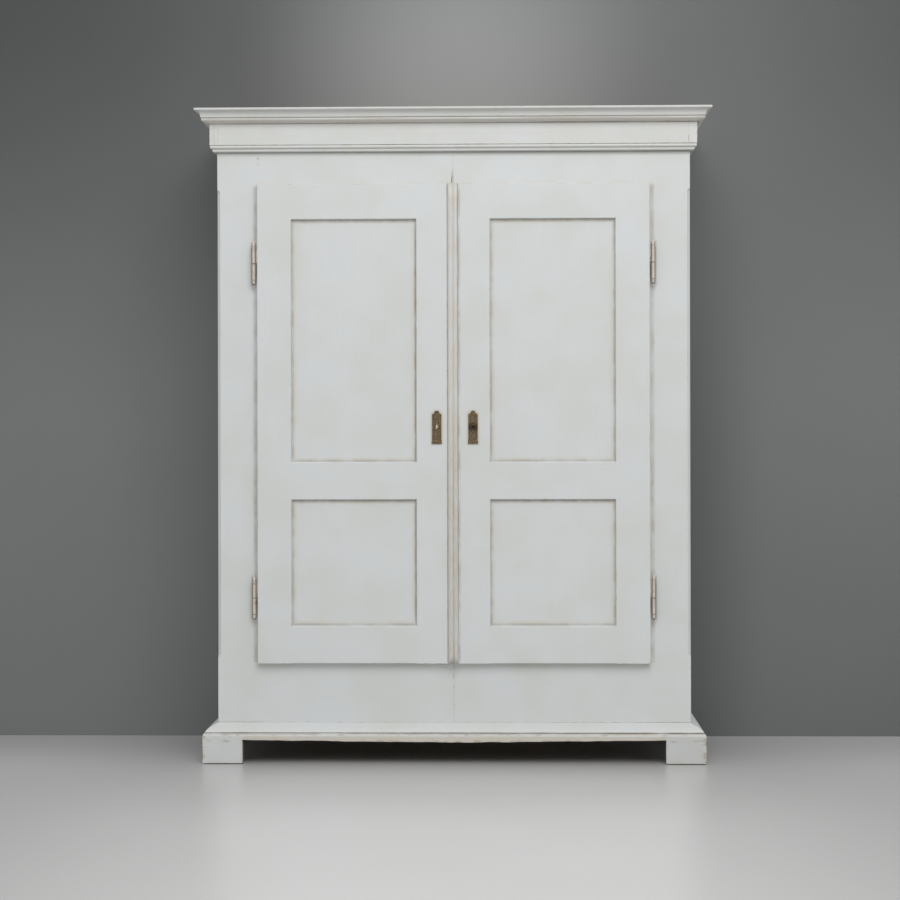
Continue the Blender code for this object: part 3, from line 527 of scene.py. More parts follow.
def old_paint(name, settings, along, marks, across_between=None, bare_inside=None, hollow_dirt_and_shade=0.12):
    """Alkyd paint brushed on pine boards: satin, with faint brush marks along the board.

    It gives the eye an even grey-white, a cream coat and wood at knocked edges, and quirks browned by dirt
    and by painted shade.
    Between two distances from the middle, the boards are rails and are brushed across.
    A side panel is left bare inside, where it is nearer the middle than its inner face.
    """
    material, tree, place = new_material(name)
    across = abs(axes(place)[0])
    cloud = window(stretched_noise(place, 0.14, 3.0), 0.35, 0.7)
    # Brush marks are about 1.5 mm apart on the real boards, and are drawn 4 mm apart to show.
    strokes = stretched_noise(place, along_axis(along, 0.16, 0.004), 3.0)
    if across_between:
        start, end = across_between
        level = stretched_noise(place, along_axis("X", 0.16, 0.004), 3.0)
        on_rail = window(across, start - 0.001, start + 0.001) * window(across, end + 0.001, end - 0.001)
        strokes = add(tree, "ShaderNodeMix", {0: on_rail, 2: strokes, 3: level})
    # The marks give dirt and painted shade together, then cream and bare wood.
    extra_dirt_and_shade, extra_cream, extra_bare = marks(settings, place)
    edge = outer_edges(tree, settings.edge_wear, 0.985, 0.86)
    # Hollows take the dirt colour: dirt that settles in corners, and painted shade where the piece shuts out
    # light.
    hollow = hollows(tree, 0.007, 0.92, 0.45)
    knocks = window(stretched_noise(place, 0.022, 4.0), 0.44, 0.6)
    worn = edge * knocks - hollow | 0.0
    thin = window(strokes, 0.5, 0.8) * 0.12
    wood_share = window(worn * knocks, 0.55, 0.95) | extra_bare
    colour = coats(
        settings.paint,
        (cloud, settings.aged),
        (thin, settings.cream),
        ((worn * 1.3 | extra_cream) & 1.0, settings.cream),
        (wood_share, settings.wood),
        ((hollow * hollow_dirt_and_shade | extra_dirt_and_shade) & 1.0, settings.dirt),
    )
    if bare_inside:
        inner_face, wood = bare_inside
        grain, _ = pine_grain(wood, place, "Z", "Y", BOARD_START, INSIDE_BOARD)
        inside = window(across, inner_face + 0.002, inner_face + 0.001)
        colour = coats(colour, (inside, grain))
        wood_share = wood_share | inside
    rough = wood_share * 0.2 + (strokes * 0.16 + 0.36)
    sockets = {"Base Color": colour, "Roughness": rough, "Specular IOR Level": 0.45}
    return finish_material(material, sockets, worn * -1.5 + strokes, strength=0.5)


def pine_grain(settings, place, along, across, start, board, dusty=0.0):
    """Colour and fibre of sawn boards side by side, whose joints start at one place across them."""
    tree = place.tree
    cell = (axes(place)["XYZ".index(across)] - start) / board
    number = cell.run("FLOOR")
    off_middle = (cell.run("FRACT") - 0.5) * board
    apart = add(tree, "ShaderNodeCombineXYZ", {axis: number for axis in "XYZ"})
    far = add(tree, "ShaderNodeVectorMath", {0: apart, 1: (3.7, 5.3, 2.9)}, operation="MULTIPLY")
    own = add(tree, "ShaderNodeVectorMath", {0: place, 1: far})
    tone = add(tree, "ShaderNodeTexWhiteNoise", {"W": number}, "Value", noise_dimensions="1D")
    # The pith lies 0 to 13 cm behind the face and wanders along the board, which draws arches and lines.
    depth = stretched_noise(own, along_axis(along, 0.55, 0.1)) * 0.11 + tone * 0.02
    from_pith = (depth ** 2.0 + off_middle ** 2.0) ** 0.5
    # Rings are 2 to 4 mm apart on real pine, and are drawn 7 mm apart to show.
    rings = (from_pith * (math.tau / 0.007)).run("SINE")
    fibre = stretched_noise(own, along_axis(along, 0.06, 0.0015))
    scale = [1 / size for size in along_axis(along, 0.45, 0.2)]
    cells = add(tree, "ShaderNodeMapping", {"Vector": own, "Scale": scale})
    from_knot = add(tree, "ShaderNodeTexVoronoi", {"Vector": cells, "Scale": 1.0}, "Distance")
    joint = window(abs(off_middle), board / 2 - 0.0035, board / 2 - 0.0005) * 0.7
    settled = stretched_noise(place, 0.15, 3.0, (4.0, 2.0, 1.0)) * dusty + dusty * 0.5
    colour = coats(
        settings.early,
        (window(rings, -0.4, 1.0) * 0.55, settings.late),
        (fibre * 0.3 + tone * 0.35, settings.late),
        (window(from_knot, 0.075, 0.045), settings.knot),
        ((settled | joint) & 1.0, settings.dust),
    )
    return colour, fibre


def bare_pine(name, settings, along, across, start, board, dusty=0.0):
    """Planed pine boards without finish: matt, growth rings along each board and a few knots.

    It gives the eye arches in the middle of a board, straight lines at its sides and a tone of its own.
    """
    material, _, place = new_material(name)
    colour, fibre = pine_grain(settings, place, along, across, start, board, dusty)
    sockets = {"Base Color": colour, "Roughness": fibre * 0.2 + 0.55, "Specular IOR Level": 0.3}
    return finish_material(material, sockets, fibre)


def aged_brass(name, settings):
    """Stamped brass under brown tarnish: rubbed bright on what stands proud, dull and brown in the hollows.

    The right lock is the one in use, so grease from hands and key has blackened its keyhole.
    """
    material, tree, place = new_material(name)
    x, _, z = axes(place)
    # Tarnish spots are 4 to 6 mm across.
    spots = stretched_noise(place, (0.004, 0.004, 0.006), 4.0)
    bright = window(spots, 0.42, 0.72) * 0.45 + outer_edges(tree, 0.001, 0.98, 0.82) & 0.9
    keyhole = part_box("right_escutcheon")[0].z + KEYHOLE_ABOVE_PLATE
    uneven = window(spots, 0.35, 0.6) * 0.35 + 0.55
    grease = line(z, keyhole, 0.021) * uneven * window(x, 0.0, 0.01)
    colour = coats(settings.tarnish, (bright, settings.brass), (grease, shade(settings.tarnish, 0.3)))
    sockets = {"Base Color": colour, "Roughness": bright * -0.25 + 0.55, "Metallic": 1.0}
    return finish_material(material, sockets, spots, depth=0.0002)


def painted_iron(name, settings):
    """Turned iron painted over with the doors: cream paint that is thick in the rings and chipped on them.

    It gives the eye a warm pale barrel, brown at its joint, brown dirt and painted shade down both flanks
    with one beside the door, and a dark worn foot.
    """
    material, tree, place = new_material(name)
    x, _, z = axes(place)
    spots = stretched_noise(place, (0.006, 0.006, 0.012), 4.0)
    chipped = window(spots, 0.66, 0.74)
    # Brown down both flanks of each barrel: dirt, and painted shade where the round barrel turns away.
    brown = line(abs(abs(x) - HINGE_ASIDE), 0.0052, 0.003) * 0.8
    for level in LEVELS:
        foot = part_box(f"right_{level}_hinge_pin_half")[0].z
        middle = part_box(f"right_{level}_hinge_door_half")[0].z
        chipped = line(z, foot + 0.009, 0.0045) * 0.8 | chipped
        brown = line(z, middle, 0.0026) * 0.95 | brown
    colour = coats(
        settings.hinge_paint,
        (window(spots, 0.35, 0.7) * 0.25, settings.rust),
        (brown, settings.tarnish),
        (chipped, settings.iron),
        (hollows(tree, 0.004, 0.9, 0.5), settings.tarnish),
    )
    sockets = {"Base Color": colour, "Roughness": chipped * 0.15 + 0.42}
    return finish_material(material, sockets, chipped * -1.0 + spots, strength=0.5)


def bare_metal(name, clean, soiled, rough, size):
    """Forged or rolled metal without finish: grey, with brown or dark spots where damp has reached it."""
    material, _, place = new_material(name)
    spots = stretched_noise(place, size, 5.0)
    share = window(spots, 0.48, 0.72) * 0.6
    sockets = {"Base Color": coats(clean, (share, soiled)), "Roughness": share * 0.3 + rough, "Metallic": 1.0}
    return finish_material(material, sockets, spots)


def dress(material, *nodes):
    """Gives carried-over nodes their material."""
    for node in nodes:
        frame["nodes"][node].material_slots[0].material = material


def new_object(name, bm):
    """An object of a finished shape, linked to the scene."""
    mesh = bpy.data.meshes.new(name)
    bm.to_mesh(mesh)
    bm.free()
    made = bpy.data.objects.new(name, mesh)
    bpy.context.scene.collection.objects.link(made)
    return made


def link_piece(name, bm, material, body, smooth=0.0):
    """Links a finished shape as a piece that rides on a body, smooth where it bends less than an angle."""
    bmesh.ops.remove_doubles(bm, verts=bm.verts, dist=1e-6)
    bmesh.ops.recalc_face_normals(bm, faces=bm.faces)
    piece = new_object(name, bm)
    piece.data.materials.append(material)
    if smooth:
        piece.data.shade_smooth()
        piece.data.set_sharp_from_angle(angle=math.radians(smooth))
    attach(piece, body)
    return piece


def link_stage(name, bm, material):
    """Links a shape of the stage, which isn't part of the cupboard."""
    made = new_object(name, bm)
    made.data.materials.append(material)


def node_copy(node):
    """The shape of a carried-over node, merged and with its flat faces made whole."""
    bm = bmesh.new()
    bm.from_mesh(frame["nodes"][node].data)
    bmesh.ops.remove_doubles(bm, verts=bm.verts, dist=1e-6)
    bmesh.ops.dissolve_limit(bm, angle_limit=math.radians(0.5), verts=bm.verts, edges=bm.edges)
    return bm


def combine(base, others, operation):
    """One shape from several by an exact Boolean. The ones it is made of are removed."""
    helpers = [new_object("helper", shape) for shape in (base, *others)]
    for helper in helpers[1:]:
        step = helpers[0].modifiers.new("join", "BOOLEAN")
        step.operation = operation
        step.solver = "EXACT"
        step.object = helper
    bpy.context.view_layer.update()
    done = helpers[0].evaluated_get(bpy.context.evaluated_depsgraph_get()).to_mesh()
    bm = bmesh.new()
    bm.from_mesh(done)
    for helper in helpers:
        bpy.data.objects.remove(helper)
    return bm


def gather(*shapes):
    """Several shapes in one mesh."""
    whole = bmesh.new()
    for shape in shapes:
        mesh = bpy.data.meshes.new("gathered")
        shape.to_mesh(mesh)
        shape.free()
        whole.from_mesh(mesh)
        bpy.data.meshes.remove(mesh)
    return whole


def cut_across(bm, axis, places):
    """Cuts a shape across an axis at each place, so that its edges can be moved there."""
    normal = Vector([axis == name for name in "XYZ"])
    for place in places:
        geom = bm.verts[:] + bm.edges[:] + bm.faces[:]
        bmesh.ops.bisect_plane(bm, geom=geom, plane_co=normal * place, plane_no=normal)


def even_steps(low, high, pitch):
    """Places at even steps between two ends."""
    return [low + step * pitch for step in range(1, int((high - low) / pitch))]


def thicken(bm, offset):
    """Extrudes the faces of a flat shape by an offset."""
    grown = bmesh.ops.extrude_face_region(bm, geom=bm.faces[:])
    moved = [v for v in grown["geom"] if isinstance(v, bmesh.types.BMVert)]
    bmesh.ops.translate(bm, vec=offset, verts=moved)


def spun(profile, centre, axis, segments=24):
    """Turned ring or knob. Its profile is (radius, distance along the axis)."""
    bm = bmesh.new()
    along = Vector(axis)
    out = Vector((1, 0, 0))
    points = [bm.verts.new(Vector(centre) + out * r + along * a) for r, a in profile]
    edges = [bm.edges.new(pair) for pair in zip(points, points[1:])]
    bmesh.ops.spin(
        bm, geom=points + edges, cent=centre, axis=axis, angle=math.tau, steps=segments, use_merge=True,
    )
    bmesh.ops.remove_doubles(bm, verts=bm.verts, dist=1e-6)
    return bm


def ease(bm, edges, width):
    """Rounds edges by a width."""
    bmesh.ops.bevel(bm, geom=edges, offset=width, segments=2, profile=0.5, affect="EDGES", material=-1)


def eased_block(size, centre, width, turn=0.0):
    """Small block with rounded edges, turned about Y."""
    bm = bmesh.new()
    bmesh.ops.create_cube(bm, size=1.0)
    bmesh.ops.scale(bm, vec=size, verts=bm.verts)
    ease(bm, bm.edges[:], width)
    set_down(bm, centre, turn, "Y")
    return bm


def set_down(bm, centre, turn=0.0, axis="X"):
    """Turns a shape about an axis through the origin, then moves it."""
    bmesh.ops.rotate(bm, cent=(0, 0, 0), matrix=Matrix.Rotation(turn, 3, axis), verts=bm.verts)
    bmesh.ops.translate(bm, vec=centre, verts=bm.verts)


class CUPBOARD_OT_painted_wood(bpy.types.Operator):
    """Paints the carcass, doors, cornice and plinth, and makes the frieze boards with filled quirks"""

    bl_idname = "cupboard.painted_wood"
    bl_label = "Painted Wood"

    def execute(self, context):
        paint = context.scene.cupboard_paint
        door = old_paint("oil_paint_door_panels", paint, "Z", door_marks)
        upright = old_paint("oil_paint_carcass", paint, "Z", carcass_marks)
        cornice = old_paint("oil_paint_cornice_front", paint, "X", cornice_marks, hollow_dirt_and_shade=0.02)
        cornice_side = old_paint("oil_paint_cornice_side", paint, "Y", cornice_marks, hollow_dirt_and_shade=0.02)
        plinth_side = old_paint("oil_paint_plinth_side", paint, "Y", plinth_marks)
        bare_inside = (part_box("side_panel_right")[0].x, context.scene.cupboard_wood)
        panel = old_paint("oil_paint_side_panel", paint, "Z", carcass_marks, bare_inside=bare_inside)
        dress(cornice, "crown_front")
        for side, _ in SIDES:
            dress(door, f"{side}_door_upper_panel", f"{side}_door_lower_panel")
            dress(upright, f"centre_stile_{side}")
            dress(panel, f"side_panel_{side}")
            dress(cornice_side, f"crown_{side}")
            dress(plinth_side, f"plinth_side_{side}")
        for end, material in (("front", cornice), ("left", cornice_side), ("right", cornice_side)):
            node = f"frieze_{end}"
            piece = link_piece(f"{node}_board", filled_quirks(node), material, "carcass")
            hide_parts(node)
        return {"FINISHED"}


def filled_quirks(node):
    """A beaded frieze board whose quirks are half full of old paint, its mitres kept."""
    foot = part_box(node)[0].z
    in_front = node == "frieze_front"
    behind = 0.012
    bm = node_copy(node)
    for v in bm.verts:
        inside = v.co.y > FRIEZE_FACE + behind if in_front else abs(v.co.x) < FRIEZE_END - behind
        for height, fill in QUIRK_FILLS:
            if abs(v.co.z - foot - height) < NEAR and not inside:
                if in_front or v.co.y < 0:
                    v.co.y -= fill
                v.co.x += math.copysign(fill, v.co.x)
    return bm


class CUPBOARD_OT_painted_frames(bpy.types.Operator):
    """Joins the stiles and rails of each door and each half, with eased sills, chamfer stops and a split"""

    bl_idname = "cupboard.painted_frames"
    bl_label = "Painted Frames"

    def execute(self, context):
        paint = context.scene.cupboard_paint
        between = (PANEL_INNER, PANEL_OUTER)
        door_paint = old_paint("oil_paint_door_frame", paint, "Z", door_marks, between)
        between = (0.0, -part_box("outer_stile_left")[1].x)
        carcass_paint = old_paint("oil_paint_face_frame", paint, "Z", carcass_marks, between)
        for side, sign in SIDES:
            stiles = [f"{side}_door_{board}" for board in ("hinge_stile", "lock_stile")]
            rails = [f"{side}_door_{board}" for board in ("top_rail", "lock_rail", "bottom_rail")]
            boards = [lengthened(rail, shoulders(rails[0], sign)) for rail in rails]
            bm = combine(node_copy(stiles[0]), boards + [node_copy(stiles[1])], "UNION")
            ease_sills(bm)
            piece = link_piece(f"{side}_door_frame", bm, door_paint, f"{side}_door")
            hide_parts(*stiles, *rails)
            rails = [f"top_rail_{side}", f"bottom_rail_{side}"]
            end = max((corner.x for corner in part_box(rails[0])), key=abs)
            boards = [lengthened(rail, [(end, sign)]) for rail in rails]
            bm = combine(short_stops(f"outer_stile_{side}"), boards, "UNION")
            bm = combine(bm, [seam_split()], "DIFFERENCE")
            piece = link_piece(f"face_frame_{side}", bm, carcass_paint, "carcass")
            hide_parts(f"outer_stile_{side}", *rails)
        return {"FINISHED"}


def shoulders(rail, sign):
    """The two shoulders of a door rail, each with the direction out of the rail."""
    places = sorted({round(v.co.x, 5) for v in frame["nodes"][rail].data.vertices}, key=abs)
    return (places[1], -sign), (places[2], sign)


def lengthened(node, ends):
    """A rail whose shoulders run a little way into the stiles, so that paint closes the joints."""
    bm = node_copy(node)
    for at, direction in ends:
        moved = [v for v in bm.verts if abs(v.co.x - at) < NEAR]
        bmesh.ops.translate(bm, vec=(direction * JOINT_REACH, 0, 0), verts=moved)
    return bm


def ease_sills(bm):
    """Widens the eased edge that a door's rails have under each panel, worn by wiping."""
    for v in bm.verts:
        for base in (LOWER_PANEL[0], UPPER_PANEL[0]):
            if abs(v.co.z - base) < NEAR and v.co.y < DOOR_FRONT + SILL_ARRIS + NEAR:
                v.co.y += SILL_EASE
            elif abs(v.co.z - base + SILL_ARRIS) < 2 * NEAR and v.co.y < DOOR_FRONT + NEAR:
                v.co.z -= SILL_EASE


def short_stops(node):
    """An outer stile whose chamfer reaches further and runs out more steeply at both ends."""
    bm = node_copy(node)
    moves = [(v, up) for v in bm.verts for level, up in CHAMFER_STOPS if abs(v.co.z - level) < NEAR]
    for v, up in moves:
        v.co.z += up
    return bm


def seam_split():
    """Thin tapering split where the halves meet over the doors, leaning to the left at its foot."""
    low, high = DOOR_TOP - 0.005, DOOR_TOP + 0.042
    bm = bmesh.new()
    bmesh.ops.create_cube(bm, size=1.0)
    upright = [e for e in bm.edges if abs(e.verts[0].co.z - e.verts[1].co.z) > 0.5]
    bmesh.ops.subdivide_edges(bm, edges=upright, cuts=5)
    bmesh.ops.scale(bm, vec=(0.0021, 0.016, high - low), verts=bm.verts)
    for v in bm.verts:
        up = v.co.z / (high - low) + 0.5
        v.co.x = v.co.x * (1 - 0.75 * up) - 0.0030 - 0.006 * (1 - up) ** 4
    bmesh.ops.translate(bm, vec=(0, FACE, (low + high) / 2), verts=bm.verts)
    return bm


class CUPBOARD_OT_cover_strip(bpy.types.Operator):
    """Makes the reeded strip over the join of the doors, with an uneven planed face"""

    bl_idname = "cupboard.cover_strip"
    bl_label = "Cover Strip"

    def execute(self, context):
        material = old_paint("oil_paint_cover_strip", context.scene.cupboard_paint, "Z", strip_marks)
        low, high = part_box("meeting_cover_strip")
        bm = node_copy("meeting_cover_strip")
        cut_across(bm, "Z", even_steps(low.z, high.z, 0.024))
        for v in bm.verts:
            if v.co.x < low.x + NEAR:
                v.co.x -= STRIP_LAP
            elif v.co.y < high.y - NEAR:
                here = Vector((v.co.x * 60, 3.7, v.co.z * 9))
                v.co.y += 0.0003 * (1 + noise.noise(here))
        piece = link_piece("reeded_cover_strip", bm, material, "right_door", smooth=50)
        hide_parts("meeting_cover_strip")
        return {"FINISHED"}


class CUPBOARD_OT_plinth_front(bpy.types.Operator):
    """Makes the plinth's front board with a kicked, uneven lower edge"""

    bl_idname = "cupboard.plinth_front"
    bl_label = "Plinth Front"

    def execute(self, context):
        material = old_paint("oil_paint_plinth_board", context.scene.cupboard_paint, "X", plinth_marks)
        low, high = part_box("plinth_front")
        bm = node_copy("plinth_front")
        cut_across(bm, "X", even_steps(low.x, high.x, 0.013))
        for v in bm.verts:
            here = Vector((v.co.x * 17, v.co.y * 20, 1.3))
            wander = noise.noise(here) + 0.5 * noise.noise(here * 3.1)
            in_front = v.co.y < low.y + NEAR
            if abs(v.co.z - low.z - APRON_BASE) < NEAR:
                v.co.z += 0.0018 * wander - APRON_SAG * max(0.0, 1 - (v.co.x / APRON_REACH) ** 2) ** 2
                if in_front:
                    v.co.y += 0.0012 * max(0.0, wander)
            elif v.co.z < NEAR and in_front:
                v.co.y += 0.0010 * max(0.0, wander)
                v.co.z += FOOT_EASE
        piece = link_piece("plinth_front_board", bm, material, "carcass")
        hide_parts("plinth_front")
        return {"FINISHED"}


class CUPBOARD_OT_bare_wood(bpy.types.Operator):
    """Gives the boards inside and behind the cupboard bare pine"""

    bl_idname = "cupboard.bare_wood"
    bl_label = "Bare Wood"

    def execute(self, context):
        wood = context.scene.cupboard_wood
        upright = bare_pine("bare_pine_upright", wood, "Z", "Y", BOARD_START, INSIDE_BOARD)
        level = bare_pine("bare_pine_level", wood, "X", "Y", BOARD_START, INSIDE_BOARD)
        low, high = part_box("top_board")
        dress(bare_pine("dusty_pine_top", wood, "X", "Y", low.y, (high.y - low.y) / 4, 0.5), "top_board")
        # The plinth's back rail is mostly the grey dust colour: dust, and painted shade for the dark space
        # under the plinth.
        dress(bare_pine("dusty_shaded_pine_plinth", wood, "X", "Z", -0.05, 0.4, 1.0), "plinth_back_rail")
        for side, _ in SIDES:
            dress(upright, f"partition_{side}")
            dress(level, f"bottom_board_{side}", f"shelf_{side}_1", f"shelf_{side}_2")
        return {"FINISHED"}


class CUPBOARD_OT_back_planks(bpy.types.Operator):
    """Makes the back of narrow boards with V joints"""

    bl_idname = "cupboard.back_planks"
    bl_label = "Back Planks"

    def execute(self, context):
        wood = context.scene.cupboard_wood
        for side, _ in SIDES:
            node = f"back_boards_{side}"
            low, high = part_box(node)
            width = (high.x - low.x) / PLANKS
            material = bare_pine(f"aged_pine_planks_{side}", wood, "Z", "X", low.x, width, 0.3)
            bm = node_copy(node)
            for joint in (low.x + step * width for step in range(1, PLANKS)):
                cut_across(bm, "X", (joint - PLANK_V, joint, joint + PLANK_V))
                for v in bm.verts:
                    if abs(v.co.x - joint) < 1e-5:
                        v.co.y += PLANK_V if v.co.y < (low.y + high.y) / 2 else -PLANK_V
            piece = link_piece(f"back_planks_{side}", bm, material, "carcass")
            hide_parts(node)
        return {"FINISHED"}


class CUPBOARD_OT_metal(bpy.types.Operator):
    """Gives the key plates, hinges, locks and bolts their metal"""

    bl_idname = "cupboard.metal"
    bl_label = "Metal"

    def execute(self, context):
        metal = context.scene.cupboard_metal
        brass = aged_brass("aged_stamped_brass", metal)
        hinge = painted_iron("painted_turned_iron", metal)
        iron = bare_metal("forged_iron", metal.iron, metal.rust, 0.5, 0.012)
        steel = bare_metal("rolled_steel", metal.steel, metal.iron, 0.32, 0.008)
        for side, _ in SIDES:
            dress(brass, f"{side}_escutcheon")
            dress(iron, f"{side}_lock_case")
            dress(steel, f"{side}_lock_bolt")
            for level in LEVELS:
                dress(hinge, f"{side}_{level}_hinge_pin_half", f"{side}_{level}_hinge_door_half")
        return {"FINISHED"}


class CUPBOARD_OT_key_plates(bpy.types.Operator):
    """Adds the stamped rim and relief to the two key plates, and the paint in the left keyhole"""

    bl_idname = "cupboard.key_plates"
    bl_label = "Key Plates"

    def execute(self, context):
        brass = aged_brass("aged_stamped_brass_relief", context.scene.cupboard_metal)
        clot = old_paint("clotted_cream_paint", context.scene.cupboard_paint, "Z", clot_marks)
        for side, _ in SIDES:
            low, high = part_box(f"{side}_escutcheon")
            middle = (low.x + high.x) / 2
            face = high.y - PLATE_PROUD
            keyhole = low.z + KEYHOLE_ABOVE_PLATE
            rim = plate_rim(middle, low, high, face)
            link_piece(f"{side}_key_plate_rim", rim, brass, f"{side}_door", smooth=35)
            relief = plate_relief(middle, low, high, face, keyhole)
            link_piece(f"{side}_key_plate_relief", relief, brass, f"{side}_door", smooth=35)
            if side == "left":
                shape = keyhole_clot(middle, face, keyhole)
                link_piece("left_keyhole_clot", shape, clot, "left_door", smooth=35)
        return {"FINISHED"}


def plate_rim(middle, low, high, face):
    """Raised bead round a key plate's edge, arched over two shoulders."""
    half = (high.x - low.x) / 2 - 0.001
    base = low.z + PLATE_FOOT + 0.0005
    shoulder = high.z - PLATE_ARCH
    outline = [(-half, base), (half, base), (half, shoulder - 0.003), (PLATE_ARCH, shoulder - 0.001)]
    for angle in range(15, 180, 15):
        turn = math.radians(angle)
        outline.append((PLATE_ARCH * math.cos(turn), shoulder + PLATE_ARCH * math.sin(turn)))
    outline += [(-PLATE_ARCH, shoulder - 0.001), (-half, shoulder - 0.003)]
    bm = bmesh.new()
    bm.faces.new([bm.verts.new((middle + x, face, z)) for x, z in outline])
    # The outline is first drawn in by a margin, then all but a border of it is taken away.
    for width, kept in ((RIM_MARGIN, "middle"), (RIM_WIDTH, "border")):
        border = bmesh.ops.inset_region(
            bm, faces=bm.faces[:], thickness=width, use_even_offset=True, use_boundary=True,
        )["faces"]
        inner = [f for f in bm.faces if f not in border]
        bmesh.ops.delete(bm, geom=border if kept == "middle" else inner, context="FACES")
    thicken(bm, (0, -RIM_HEIGHT, 0))
    return bm


def plate_relief(middle, low, high, face, keyhole):
    """Ring round the keyhole, a lozenge above it, slanting ribs above and below, and two pins."""
    out = (0, -1, 0)
    ring = [(0.0056, 0.0), (0.0058, 0.0009), (0.0066, 0.0012), (0.0074, 0.0009), (0.0078, 0.0)]
    pin = [(0.0018, 0.0), (0.0017, 0.0006), (0.0011, 0.0011), (0.0, 0.0013)]
    lozenge = ((0.0060, 0.0012, 0.0060), (middle, face, keyhole + 0.0175), 0.0005, math.radians(45))
    shapes = [
        spun(ring, (middle, face, keyhole), out),
        spun(pin, (middle, face, high.z - PLATE_ARCH), out, 12),
        spun(pin, (middle, face - 0.0015, low.z + PLATE_FOOT / 2), out, 12),
        eased_block(*lozenge),
    ]
    for side in (-1, 1):
        lean = side * math.radians(38)
        for step in range(4):
            centre = (middle + side * 0.0042, face, keyhole - 0.0155 - 0.0058 * step)
            shapes.append(eased_block((0.0086, 0.0011, 0.0016), centre, 0.0004, lean))
        centre = (middle + side * 0.0040, face, keyhole + 0.0275)
        shapes.append(eased_block((0.0080, 0.0011, 0.0016), centre, 0.0004, -lean))
    return gather(*shapes)


def keyhole_clot(middle, face, keyhole):
    """Lozenge of old paint that fills a keyhole and stands a little proud of the plate."""
    bm = bmesh.new()
    bmesh.ops.create_circle(bm, cap_ends=True, segments=4, radius=1.0)
    set_down(bm, (0, 0, 0), math.radians(90))
    bmesh.ops.scale(bm, vec=(0.0036, 1.0, 0.0080), verts=bm.verts)
    set_down(bm, (middle, face + 0.001, keyhole + 0.0015))
    thicken(bm, (0, -0.0026, 0))
    ease(bm, [e for e in bm.edges if all(v.co.y < face for v in e.verts)], 0.0006)
    return bm


class CUPBOARD_OT_hinge_rings(bpy.types.Operator):
    """Adds the turned rings to the hinge barrels"""

    bl_idname = "cupboard.hinge_rings"
    bl_label = "Hinge Rings"

    def execute(self, context):
        material = painted_iron("painted_turned_rings", context.scene.cupboard_metal)
        for side, _ in SIDES:
            for level in LEVELS:
                for half, body in (("door_half", f"{side}_door"), ("pin_half", "carcass")):
                    name = f"{side}_{level}_hinge_{half}"
                    rings = barrel_rings(name, side)
                    link_piece(f"{name}_rings", rings, material, body, smooth=50)
        return {"FINISHED"}


def barrel_rings(node, side):
    """Rings below the finial of a hinge's upper half, two of them, or the one above its lower finial."""
    low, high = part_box(node)
    joint = next(j for j in frame["joints"] if j["name"] == f"{side}_door_hinge")
    x, y = joint["pos_m"][:2]
    if node.endswith("door_half"):
        heights = [high.z - HINGE_FINIAL - back for back in (0.0019, 0.0060)]
    else:
        heights = [low.z + HINGE_FINIAL + 0.0019]
    profile = [(HINGE_RADIUS + out, up) for out, up in RING_BEAD]
    return gather(*(spun(profile, (x, y, height), (0, 0, 1)) for height in heights))


class CUPBOARD_OT_lock_screws(bpy.types.Operator):
    """Adds slotted screws to the lock cases"""

    bl_idname = "cupboard.lock_screws"
    bl_label = "Lock Screws"

    def execute(self, context):
        metal = context.scene.cupboard_metal
        steel = bare_metal("soiled_screw_steel", metal.steel, metal.iron, 0.4, 0.004)
        inset = 0.008
        for side, _ in SIDES:
            low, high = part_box(f"{side}_lock_case")
            shapes = [
                screw_head((x, high.y, z), math.radians(turn))
                for x in (low.x + inset, high.x - inset)
                for z, turn in ((low.z + inset, 20), (high.z - inset, -35))
            ]
            link_piece(f"{side}_lock_screws", gather(*shapes), steel, f"{side}_door", smooth=35)
        return {"FINISHED"}


def screw_head(centre, turn):
    """Low round head with a slot."""
    dome = [(0.0042, 0.0), (0.0040, 0.0006), (0.0028, 0.0013), (0.0, 0.0016)]
    head = spun(dome, (0, 0, 0), (0, 1, 0), 20)
    bmesh.ops.holes_fill(head, edges=[e for e in head.edges if e.is_boundary])
    bm = combine(head, [eased_block((0.010, 0.0016, 0.0009), (0, 0.0015, 0), 0.0001)], "DIFFERENCE")
    set_down(bm, centre, turn, "Y")
    return bm


class CUPBOARD_OT_stage(bpy.types.Operator):
    """Makes the floor, the wall, the light and the camera"""

    bl_idname = "cupboard.stage"
    bl_label = "Stage"

    def execute(self, context):
        stage = context.scene.cupboard_stage
        make_floor(stage)
        make_wall(stage)
        make_light(context.scene, stage)
        make_camera(context.scene, stage)
        context.scene.view_settings.view_transform = "Standard"
        return {"FINISHED"}


def make_floor(stage):
    """Cast floor with a worn satin coating: pale, with painted shade darker to the wall, and it mirrors the
    feet softly.
    """
    material, _, place = new_material("coated_floor")
    x, y, _ = axes(place)
    across = abs(x)
    cloud = stretched_noise(place, 1.1, 4.0)
    # Painted light and shade: the floor is darker towards the wall and to each side, has a painted shadow
    # beside the cupboard at the wall, and keeps its full pale colour in front of the plinth.
    beside = (window(x, 0.4, 0.9) * -0.16 + 0.52) * window(across, 0.62, 0.85)
    before = line(y, -0.5, 0.45) * window(across, 1.0, 0.4) * 0.5
    colour = coats(
        stage.floor,
        (window(cloud, 0.3, 0.75), shade(stage.floor, 0.96)),
        (line(y, BACK + WALL_GAP, 1.8), shade(stage.floor, 0.56)),
        (window(across, 0.5, 1.4), shade(stage.floor, 0.8)),
        (line(y, BACK + WALL_GAP, 0.8) * beside, shade(stage.floor, 0.3)),
        (before, stage.floor),
    )
    finish_material(material, {"Base Color": colour, "Roughness": cloud * 0.12 + 0.28})
    bm = bmesh.new()
    bmesh.ops.create_grid(bm, x_segments=1, y_segments=1, size=40.0)
    link_stage("floor", bm, material)


